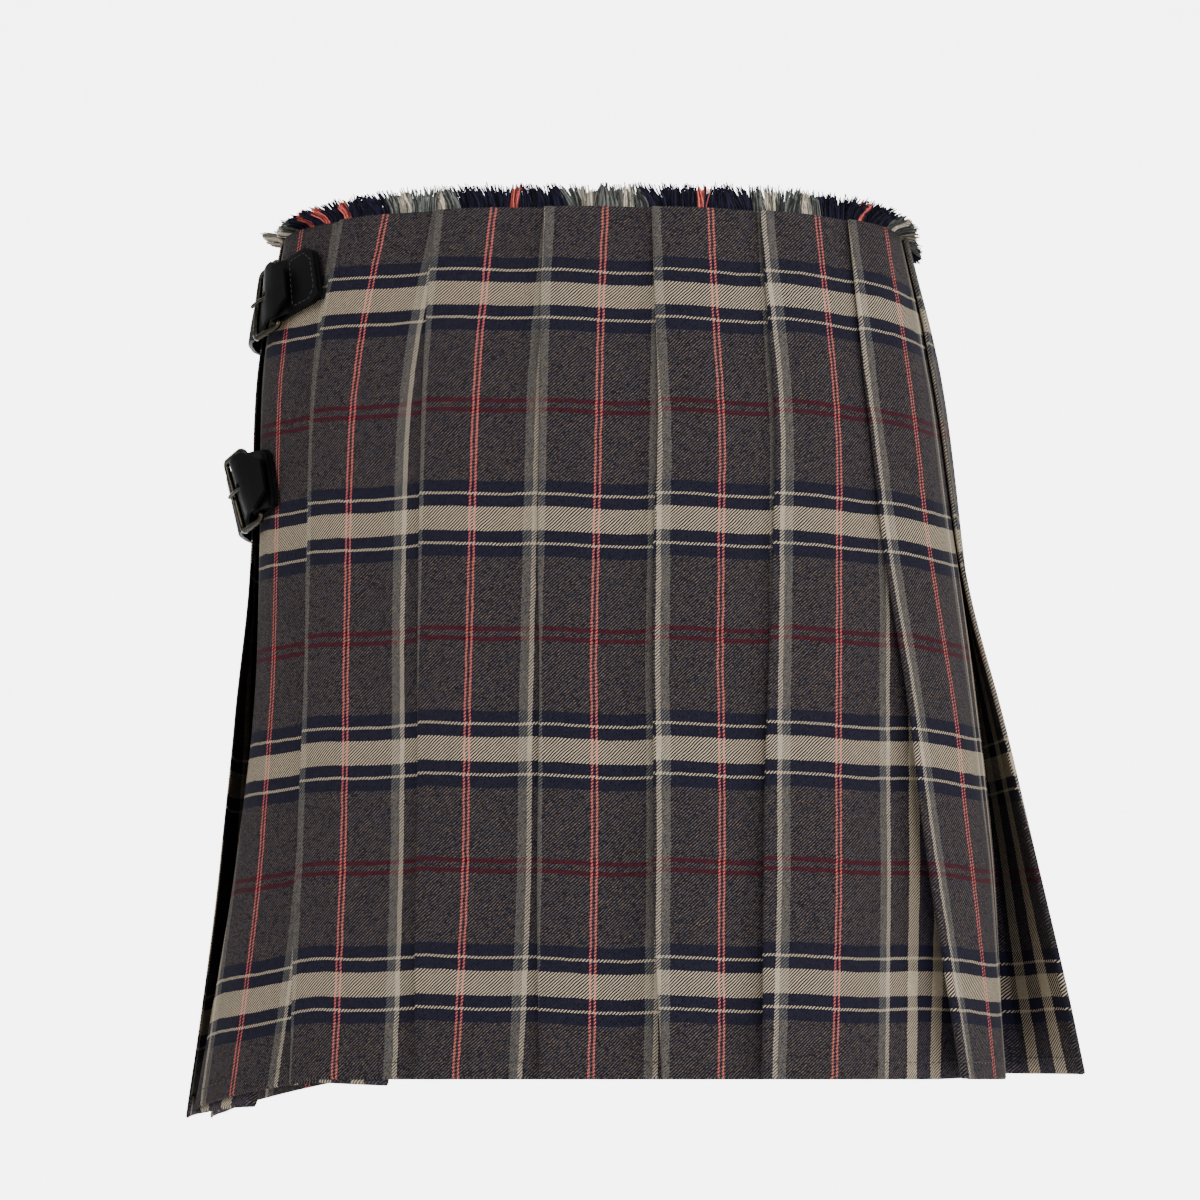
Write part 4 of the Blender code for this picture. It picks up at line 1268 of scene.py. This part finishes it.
class KILT_OT_fringe(bpy.types.Operator):
    """Fray the strip behind the waist edge into yarns."""

    bl_idname = "kilt.fringe"
    bl_label = "Fray Waist Edge"
    bl_options = {"REGISTER", "UNDO"}

    def execute(self, context):
        cloth = context.scene.kilt_cloth
        strip = self.strip()
        yarns = self.yarns(cloth)
        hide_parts("waist_fringe")
        return {"FINISHED"}

    @staticmethod
    def offset(top, arc):
        """The frayed strip follows the inner side of the layers at the waist."""
        round_ = top.oval.round
        first = top.fold[0]
        last = top.fold[-1]
        pleats = 4.0 * LAYER + STRIP_INSIDE
        level = pleats
        if arc > 0.0:
            level += (STRIP_INSIDE_OVER - pleats) * past(arc, last, STRIP_LEAVES)
            level -= apron_out(0.0, round_, arc)
        else:
            hip = last + top.depth[-1] - round_
            level += (UNDER_INSIDE + STRIP_INSIDE_UNDER - pleats) * (1.0 - before(arc, first, STRIP_MEETS))
            level += (UNDER_TUCK[0] - UNDER_INSIDE) * (1.0 - past(arc, hip, UNDER_FALL))
        return -level

    def strip(self):
        """The woven part of the strip, just below the frayed yarns."""
        top = Section(0.0)
        self.top = top
        self.start = UNDER_EDGE_ARCS[0] - top.oval.round + STRIP_END
        self.end = top.oval.round + OVER_EDGE_ARCS[0] - STRIP_END
        arcs = np.linspace(self.start, self.end, STRIP_POINTS)
        offsets = np.array([self.offset(top, arc) for arc in arcs])
        points = []
        flats = []
        for down in STRIP_ROWS:
            oval = Oval.at(down)
            x, y = oval.place(arcs, offsets + relief(oval, arcs, down) * 0.5)
            points.append(np.column_stack([x, y, np.full(len(arcs), -down)]) * MM)
            flats.append(np.column_stack([arcs, np.full(len(arcs), STRIP_WEFT - down)]))
        mesh = grid_mesh("fringe_strip", np.array(points), np.array(flats))
        mesh.materials.append(bpy.data.materials["wool_tartan_twill"])
        thing = link("fringe_strip", mesh)
        thicken(thing, STRIP_WALL)
        return finish_piece(thing)

    def yarns(self, cloth):
        """Loose yarns, dense and upright at their roots, ragged at their tips, drooping at the hips."""
        random = np.random.default_rng(7)
        profile = self.profile(cloth.yarn / 2.0)
        curve = new_curve("frayed_yarns")
        curve.bevel_mode = "OBJECT"
        curve.bevel_object = profile
        height = cloth.fringe_height / MM
        names = ("navy", "coral", "fringe_cream", "fringe_grey")
        for name in names:
            # Each yarn colour in three copies scaled by YARN_SHADES: painted shade, plain and painted
            # highlight
            for i, shade in enumerate(YARN_SHADES):
                colour = [min(value * shade, 0.8) for value in getattr(cloth, name)]
                curve.materials.append(frayed_yarn(f"frayed_{name}_yarn_{i}", colour, 0.3))
        for kind in FRINGE_KINDS:
            arc = self.start
            while arc < self.end:
                apart = 1.0 if abs(arc) < FRINGE_DENSE else FRINGE_SPARSE
                spacing = cloth.yarn_spacing / MM * kind[0] * apart
                arc += spacing * random.uniform(0.5, 1.5)
                which = names.index(self.colour(arc + random.normal(0.0, 0.25)))
                # Each yarn takes the painted shade, plain or painted highlight copy at random
                shade = int(random.integers(len(YARN_SHADES)))
                self.yarn(curve, height, random, arc, which * len(YARN_SHADES) + shade, kind)
        thing = curve_to_mesh(link("frayed_yarns", curve))
        bpy.data.curves.remove(profile.data)
        return finish_piece(thing)

    @staticmethod
    def profile(radius):
        """A three-sided section, which shades as round at a yarn's size."""
        outline = bpy.data.curves.new("yarn_section", "CURVE")
        outline.dimensions = "2D"
        spline = outline.splines.new("POLY")
        spline.points.add(2)
        for i, point in enumerate(spline.points):
            turn = 2.0 * math.pi * i / 3.0
            point.co = (radius * math.cos(turn), radius * math.sin(turn), 0.0, 1.0)
        spline.use_cyclic_u = True
        return link("yarn_section", outline)

    def colour(self, arc):
        """The yarn at one place along the strip."""
        if arc > self.top.oval.round - FRINGE_LAP:
            arc -= self.top.oval.round
        bands = FRINGE_LEFT
        if arc >= LEFT_END:
            bands = FRINGE_BANDS
            repeat = (arc - FRINGE_START) % FRINGE_REPEAT
            arc = min(repeat, FRINGE_REPEAT - repeat)
        starts = [band[0] for band in bands]
        return bands[max(int(np.searchsorted(starts, arc, side="right")) - 1, 0)][1]

    def yarn(self, curve, height, random, arc, slot, kind):
        """One yarn: it stands up from its root and is combed to one side, with its neighbours."""
        _, thickness, shortest, longest, scatter, bends = kind
        bundle, comb = (
            sum(size * math.sin(arc * rate + start) for size, rate, start in waves)
            for waves in (YARN_BUNDLES, YARN_COMBING)
        )
        lean = YARN_LEAN * (comb - YARN_LEFTWARDS) + 0.5 * bundle + random.normal(0.0, scatter)
        side = abs(math.sin(2.0 * math.pi * arc / self.top.oval.round)) ** 6
        taller = np.interp(arc, FRINGE_TALLER[:, 0], FRINGE_TALLER[:, 1])
        length = (height + taller) * (1.0 + 0.04 * bundle) * random.uniform(shortest, longest)
        tuft = smooth(arc, *FRINGE_TUFT[:2]) * (1.0 - smooth(arc, *FRINGE_TUFT[2:]))
        falls = (HIP_SPLAY[0] + HIP_SPLAY[1] * tuft) * side
        splay = 0.6 + 0.4 * bundle + random.normal(0.0, scatter) + falls
        root = self.offset(self.top, arc) + random.uniform(-0.9, 0.9)
        curl = random.normal(0.0, 0.4 * scatter)
        points = []
        radii = []
        for up in (0.0, *np.linspace(YARN_FREE, 1.0, bends)):
            here = arc + lean * up**1.7 + curl * math.sin(up * 5.0)
            x, y = self.top.oval.place(here, root + splay * up**2)
            droop = (HIP_DROOP[0] + HIP_DROOP[1] * tuft) * side * up
            z = length * up * (1.0 - droop) if up > 0.0 else YARN_ROOT
            points.append((float(x) * MM, float(y) * MM, z * MM))
            radii.append(thickness * (1.0 - YARN_TAPER * up**3))
        add_spline(curve, points, radii).material_index = slot


class Fastening:
    """One strap and buckle. along runs from the heel bar towards the back, across runs upwards."""

    def __init__(self, name, arc, height, stand, lean, tab_length):
        self.name = name
        self.arc = arc
        self.height = height
        self.stand = stand
        self.lean = lean
        self.tab_length = tab_length
        self.heel = TAB_LOW + BAR_RADIUS + LOOP_CLEAR + TAB_FOLD_WALL / 2.0
        self.outer = self.heel + BUCKLE_STEP

    def place(self, along, across, offset):
        """World place, in metres, of one spot on or near the fastening."""
        near = max(along, LEVEL_FROM)
        arc = self.arc + along * math.cos(STRAP_RISE) - across * math.sin(STRAP_RISE)
        z = self.height + near * math.sin(STRAP_RISE) + across * math.cos(STRAP_RISE)
        z += (along - near) * math.sin(STRAP_LEVEL)
        end = max(self.tab_length - 2.0, STAND_FALL[1])
        share = smooth(along, *STAND_RISE) * (1.0 - smooth(along, STAND_FALL[0], end))
        out = (self.stand + self.lean * across) * share
        x, y = Oval.at(-z).place(arc, offset + out)
        return float(x) * MM, float(y) * MM, z * MM

    @staticmethod
    def rounded(path, step):
        """A path of (along, offset, width share) made smooth, with points a step apart."""
        points = np.array(path, float)
        runs = np.concatenate([[0.0], np.cumsum(np.hypot(*np.diff(points[:, :2], axis=0).T))])
        count = max(int(runs[-1] / step), len(path))
        stops = np.union1d(np.linspace(0.0, runs[-1], count), runs[[1, -3, -2]])
        columns = [[curve_through(at, runs, points[:, i]) for at in stops] for i in (0, 1)]
        shares = np.interp(stops, runs, points[:, 2])
        return list(zip(*columns, shares, strict=True))

    def ribbon(self, name, path, width, thickness):
        """A ribbon of leather along a path, still with square edges."""
        path = self.rounded(path, RIBBON_STEP)
        rows = []
        for lane in np.linspace(-1.0, 1.0, RIBBON_LANES):
            across = lane * width / 2.0
            rows.append([self.place(along, across * share, offset) for along, offset, share in path])
        thing = link(name, grid_mesh(name, np.array(rows)))
        thicken(thing, thickness * MM)
        return thing

    def punch(self, thing, along, offset, length, width):
        """Cut an oblong hole through a ribbon, square to it."""
        bm = bmesh.new()
        bmesh.ops.create_circle(bm, cap_ends=True, radius=width / 2.0, segments=24)
        for vert in bm.verts:
            vert.co.x += math.copysign((length - width) / 2.0, vert.co.x)
        bmesh.ops.translate(bm, verts=bm.verts, vec=(0.0, 0.0, -PUNCH_REACH))
        made = bmesh.ops.extrude_face_region(bm, geom=bm.faces[:])["geom"]
        lifted = [item for item in made if isinstance(item, bmesh.types.BMVert)]
        bmesh.ops.translate(bm, verts=lifted, vec=(0.0, 0.0, 2.0 * PUNCH_REACH))
        for vert in bm.verts:
            x, y, z = vert.co
            vert.co = self.place(along + x, y, offset + z)
        bmesh.ops.recalc_face_normals(bm, faces=bm.faces)
        if bm.calc_volume(signed=True) < 0.0:
            bmesh.ops.reverse_faces(bm, faces=bm.faces)
        mesh = bpy.data.meshes.new("punch")
        bm.to_mesh(mesh)
        bm.free()
        tool = link("punch", mesh)
        hole = thing.modifiers.new("hole", "BOOLEAN")
        hole.operation = "DIFFERENCE"
        hole.solver = "EXACT"
        hole.object = tool
        apply_modifiers(thing)
        bpy.data.objects.remove(tool, do_unlink=True)
        bpy.data.meshes.remove(mesh)

    def finish_leather(self, thing, material):
        """Burnish the cut edges round and give the ribbon its leather."""
        edge = thing.modifiers.new("burnished_edge", "BEVEL")
        edge.width = BURNISH * MM
        edge.segments = 3
        edge.limit_method = "ANGLE"
        edge.angle_limit = math.radians(50.0)
        apply_modifiers(thing)
        thing.data.materials.clear()
        thing.data.materials.append(material)
        thing.data.shade_smooth()
        thing.data.set_sharp_from_angle(angle=math.radians(60.0))
        return finish_piece(thing)

    def base_tab(self, settings, material, thread):
        """Doubled leather, stitched to the pleats and folded round the heel bar."""
        wall = settings.tab_wall / MM
        width = settings.strap_width / MM
        low = TAB_LOW
        turn = BAR_RADIUS + LOOP_CLEAR + TAB_FOLD_WALL / 2.0
        high = low + 2.0 * turn
        closed = low + TAB_FOLD_WALL + CLEAR
        end = self.tab_length
        straight = TAB_STRAIGHT * end
        stations = [straight - (straight - TAB_CLOSED) * share for share in (0.0, 0.5, 1.0)]
        path = [(end, low, 0.76)] + [(along, low, 1.0) for along in (*stations, 1.5)]
        for degrees in (-90.0, -135.0, -180.0, -225.0, -270.0):
            angle = math.radians(degrees)
            path.append((turn * math.cos(angle), low + turn + turn * math.sin(angle), 1.0))
        path += [(3.0, high - 0.2, 1.0), (6.5, (high + closed) / 2.0 + 0.4, 1.0)]
        path += [(along, closed, 1.0) for along in stations[::-1]]
        path.append((end - 0.6, closed, 0.79))
        tab = self.ribbon(self.name + "_base_tab_leather", path, width, wall)
        self.punch(tab, -0.6, low + turn, *TAB_SLOT_SIZE)
        self.finish_leather(tab, material)
        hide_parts(self.name + "_base_tab")
        if end > TAB_SEWN:
            inset = settings.stitch_inset / MM
            half = width / 2.0 - inset
            top = closed + wall / 2.0 + 0.05
            near, shoulder, tip = SEWING_FROM, end - TAB_SHOULDER, end - inset
            route = [(near, -half), (shoulder, -half), (tip, -half * 0.6)]
            route += [(tip, half * 0.6), (shoulder, half), (near, half), (near, -half)]
            self.sew(self.name + "_tab_stitching", route, top, thread)

    def sew(self, name, route, level, thread):
        """Saddle stitches on the leather along straight runs of (along, across), about 1 mm a step."""
        spots = [route[0]]
        for (a0, c0), (a1, c1) in zip(route, route[1:], strict=False):
            steps = max(int(math.hypot(a1 - a0, c1 - c0)), 1)
            for i in range(1, steps + 1):
                share = i / steps
                spots.append((a0 + (a1 - a0) * share, c0 + (c1 - c0) * share))
        points = np.array([self.place(*spot, level) for spot in spots])
        outs = np.array([self.place(*spot, level + 1.0) for spot in spots]) - points
        outs /= np.linalg.norm(outs, axis=1)[:, None]
        stitches(name, [(points, outs)], *SADDLE_STITCH, thread, "leather")

    def strap(self, settings, material):
        """Comes off the over apron, under the outer bar, over the prong, with its free end at the back."""
        wall = settings.strap_wall / MM
        width = settings.strap_width / MM
        under = self.outer - BAR_RADIUS - CLEAR - wall / 2.0
        over = self.heel + STRAP_OVER
        drop = width / 2.0 - self.height
        round_ = Oval.at(drop).round
        on_cloth = CLOTH_WALL_SOLID / 2.0 + CLEAR + wall / 2.0 + 0.25
        path = []
        for step in range(7):
            along = STRAP_FROM + 7.0 * step
            out = apron_out(drop, round_, round_ + self.arc + along + 6.0)
            path.append((along, on_cloth + out, 0.8 if step == 0 else 1.0))
        path += [
            (-61.0, on_cloth + 4.0, 1.0),
            (-54.0, under + 1.0, 1.0),
            (-47.0, under + 1.8, 1.0),
            (-37.0, under + 2.6, 1.0),
            (-29.0, under + 1.6, 1.0),
            (-BUCKLE_LENGTH, under, 1.0),
            (-12.0, under + (over - under) * 0.43, 1.0),
            (0.0, over, 1.0),
            (5.5, over + 0.1, 1.0),
            (10.0, over - 0.6, 0.77),
            (14.5, over - 1.7, 0.54),
        ]
        strap = self.ribbon(self.name + "_strap_leather", path, width, wall)
        self.punch(strap, -8.0, under + 2.8, *STRAP_SLOT_SIZE)
        for along in STRAP_HOLES:
            self.punch(strap, along, under + 2.0, *HOLE_SIZE)
        self.finish_leather(strap, material)
        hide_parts(self.name + "_strap")

    def wire(self, name, points, radius, closed, material):
        """A round wire through the points, in a ring or with flat closed ends."""
        curve = new_curve(name)
        curve.bevel_depth = radius * MM
        curve.bevel_resolution = 5
        curve.use_fill_caps = not closed
        add_spline(curve, points).use_cyclic_u = closed
        curve.materials.append(material)
        return finish_piece(curve_to_mesh(link(name, curve)))

    def buckle(self, material):
        """A rectangular wire frame: the heel bar in the tab's fold, the outer bar over the strap."""
        half = BUCKLE_HEIGHT / 2.0 - BAR_RADIUS
        bend = BUCKLE_BEND
        points = []
        # Corners in turn: whether at the heel bar, side, and the angle at which the bend starts
        corners = ((True, -1.0, -90.0), (True, 1.0, 0.0), (False, 1.0, 90.0), (False, -1.0, 180.0))
        for at_heel, side, first in corners:
            along = 0.0 if at_heel else -BUCKLE_LENGTH
            if (side > 0.0) == at_heel:
                for across in np.linspace(-BUCKLE_STRAIGHT, BUCKLE_STRAIGHT, 9):
                    points.append(self.place(along, across * side, self.heel if at_heel else self.outer))
            centre = along - bend if at_heel else along + bend
            for step in range(10):
                angle = math.radians(first + 10.0 * step)
                a = centre + bend * math.cos(angle)
                c = side * (half - bend) + bend * math.sin(angle)
                share = min(max(-a / BUCKLE_LENGTH, 0.0), 1.0)
                points.append(self.place(a, c, self.heel + (self.outer - self.heel) * share))
        made = self.wire(self.name + "_buckle_wire", points, BAR_RADIUS, True, material)
        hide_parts(self.name + "_buckle_frame")

    def prong(self, material):
        """Wire hooked round the heel bar, through the strap and over the outer bar."""
        turn = BAR_RADIUS + CLEAR + PRONG_RADIUS
        tip = self.outer + turn
        path = []
        for degrees in np.linspace(-75.0, 112.0, 19):
            angle = math.radians(degrees)
            path.append((turn * math.cos(angle), self.heel + turn * math.sin(angle)))
        path += [(-4.0, self.heel + 2.8), (-7.6, self.heel + 3.8), (-11.0, self.heel + 4.9)]
        path += [(-15.5, tip - 0.7), (-18.5, tip), (-BUCKLE_LENGTH, tip + 0.1)]
        places = [self.place(along, 0.0, offset) for along, offset in path]
        made = self.wire(self.name + "_prong_wire", places, PRONG_RADIUS, False, material)
        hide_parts(self.name + "_prong")


class KILT_OT_straps(bpy.types.Operator):
    """Cut, fold and stitch the leather straps and their base tabs."""

    bl_idname = "kilt.straps"
    bl_label = "Add Straps"
    bl_options = {"REGISTER", "UNDO"}

    def execute(self, context):
        settings = context.scene.kilt_leather
        leather = bridle_leather(settings.leather)
        thread = sewing_thread("black_saddle_thread", linear("#111113"))
        for spec in FASTENINGS:
            fastening = Fastening(*spec)
            fastening.base_tab(settings, leather, thread)
            fastening.strap(settings, leather)
        return {"FINISHED"}


class KILT_OT_buckles(bpy.types.Operator):
    """Bend the wire of the buckle frames and prongs."""

    bl_idname = "kilt.buckles"
    bl_label = "Add Buckles"
    bl_options = {"REGISTER", "UNDO"}

    def execute(self, context):
        metal = gunmetal_plating(context.scene.kilt_leather.metal)
        for spec in FASTENINGS:
            fastening = Fastening(*spec)
            fastening.buckle(metal)
            fastening.prong(metal)
        return {"FINISHED"}


class KILT_OT_stage(bpy.types.Operator):
    """Set the floor and backdrop, the soft lights and the camera."""

    bl_idname = "kilt.stage"
    bl_label = "Set Stage"
    bl_options = {"REGISTER", "UNDO"}

    def execute(self, context):
        scene = context.scene
        self.backdrop(scene.kilt_stage)
        self.lights(scene)
        camera = bpy.data.cameras.new("Camera")
        camera.sensor_width = SENSOR
        camera.lens = FOCAL_LENGTH
        camera.shift_y = RISE
        camera.clip_start = 0.05
        camera.clip_end = 50.0
        thing = link("Camera", camera)
        thing.location = (0.0, -CAMERA_BACK, CAMERA_HEIGHT)
        thing.rotation_euler = (math.pi / 2.0 + LOOK_UP, 0.0, 0.0)
        scene.camera = thing
        return {"FINISHED"}

    def backdrop(self, stage):
        """Paper that lies on the floor and sweeps up behind."""
        bm = bmesh.new()
        bmesh.ops.create_grid(bm, x_segments=2, y_segments=60, size=1.0)
        quarter = SWEEP_BEND * math.pi / 2.0
        for vert in bm.verts:
            run = (vert.co.y + 1.0) / 2.0 * (SWEEP_FLAT + quarter + SWEEP_TALL)
            angle = min(max(run - SWEEP_FLAT, 0.0) / SWEEP_BEND, math.pi / 2.0)
            y = SWEEP_NEAR + min(run, SWEEP_FLAT) + SWEEP_BEND * math.sin(angle)
            z = SWEEP_BEND * (1.0 - math.cos(angle)) + max(run - SWEEP_FLAT - quarter, 0.0)
            vert.co = (vert.co.x * SWEEP_HALF_WIDTH, y, z - stage.floor_drop)
        mesh = bpy.data.meshes.new("studio_sweep")
        bm.to_mesh(mesh)
        bm.free()
        mesh.shade_smooth()
        mesh.materials.append(studio_paper(stage.paper, stage.painted_glow))
        link("studio_sweep", mesh)

    def lights(self, scene):
        """A broad key from the front left, a fill from the right, one from above, and pale room light."""
        for name, place, size, power in LIGHTS:
            light = bpy.data.lights.new(name, "AREA")
            light.shape = "DISK"
            light.size = size
            light.energy = power
            thing = link(name, light)
            thing.location = place
            thing.rotation_euler = (LIGHT_AIM - Vector(place)).to_track_quat("-Z", "Y").to_euler()
        world = scene.world or bpy.data.worlds.new("room")
        scene.world = world
        world.use_nodes = True
        sky = world.node_tree.nodes["Background"]
        sky.inputs[0].default_value = opaque(linear("#f3f3f3"))
        sky.inputs[1].default_value = 0.5


class KILT_PT_sidebar(bpy.types.Panel):
    """Sizes, colours and steps of the kilt."""

    bl_idname = "KILT_PT_sidebar"
    bl_label = "Mini Kilt"
    bl_space_type = "VIEW_3D"
    bl_region_type = "UI"
    bl_category = "Kilt"

    def draw(self, context):
        layout = self.layout
        for group in (context.scene.kilt_cloth, context.scene.kilt_leather, context.scene.kilt_stage):
            box = layout.box()
            for name in group.__annotations__:
                box.prop(group, name)
        for operator in STEPS:
            layout.operator(operator.bl_idname)


STEPS = (KILT_OT_stage, KILT_OT_cloth, KILT_OT_fringe, KILT_OT_straps, KILT_OT_buckles)
SETTINGS = {
    "kilt_cloth": KiltClothSettings,
    "kilt_leather": KiltLeatherSettings,
    "kilt_stage": KiltStageSettings,
}
CLASSES = (*SETTINGS.values(), *STEPS, KILT_PT_sidebar)


def register():
    for item in CLASSES:
        bpy.utils.register_class(item)
    for name, group in SETTINGS.items():
        setattr(bpy.types.Scene, name, bpy.props.PointerProperty(type=group))


def unregister():
    for name in SETTINGS:
        delattr(bpy.types.Scene, name)
    for item in reversed(CLASSES):
        bpy.utils.unregister_class(item)


def main():
    register()
    bpy.ops.kilt.stage()
    bpy.ops.kilt.cloth()
    bpy.ops.kilt.fringe()
    bpy.ops.kilt.straps()
    bpy.ops.kilt.buckles()


if __name__ == "__main__":
    main()
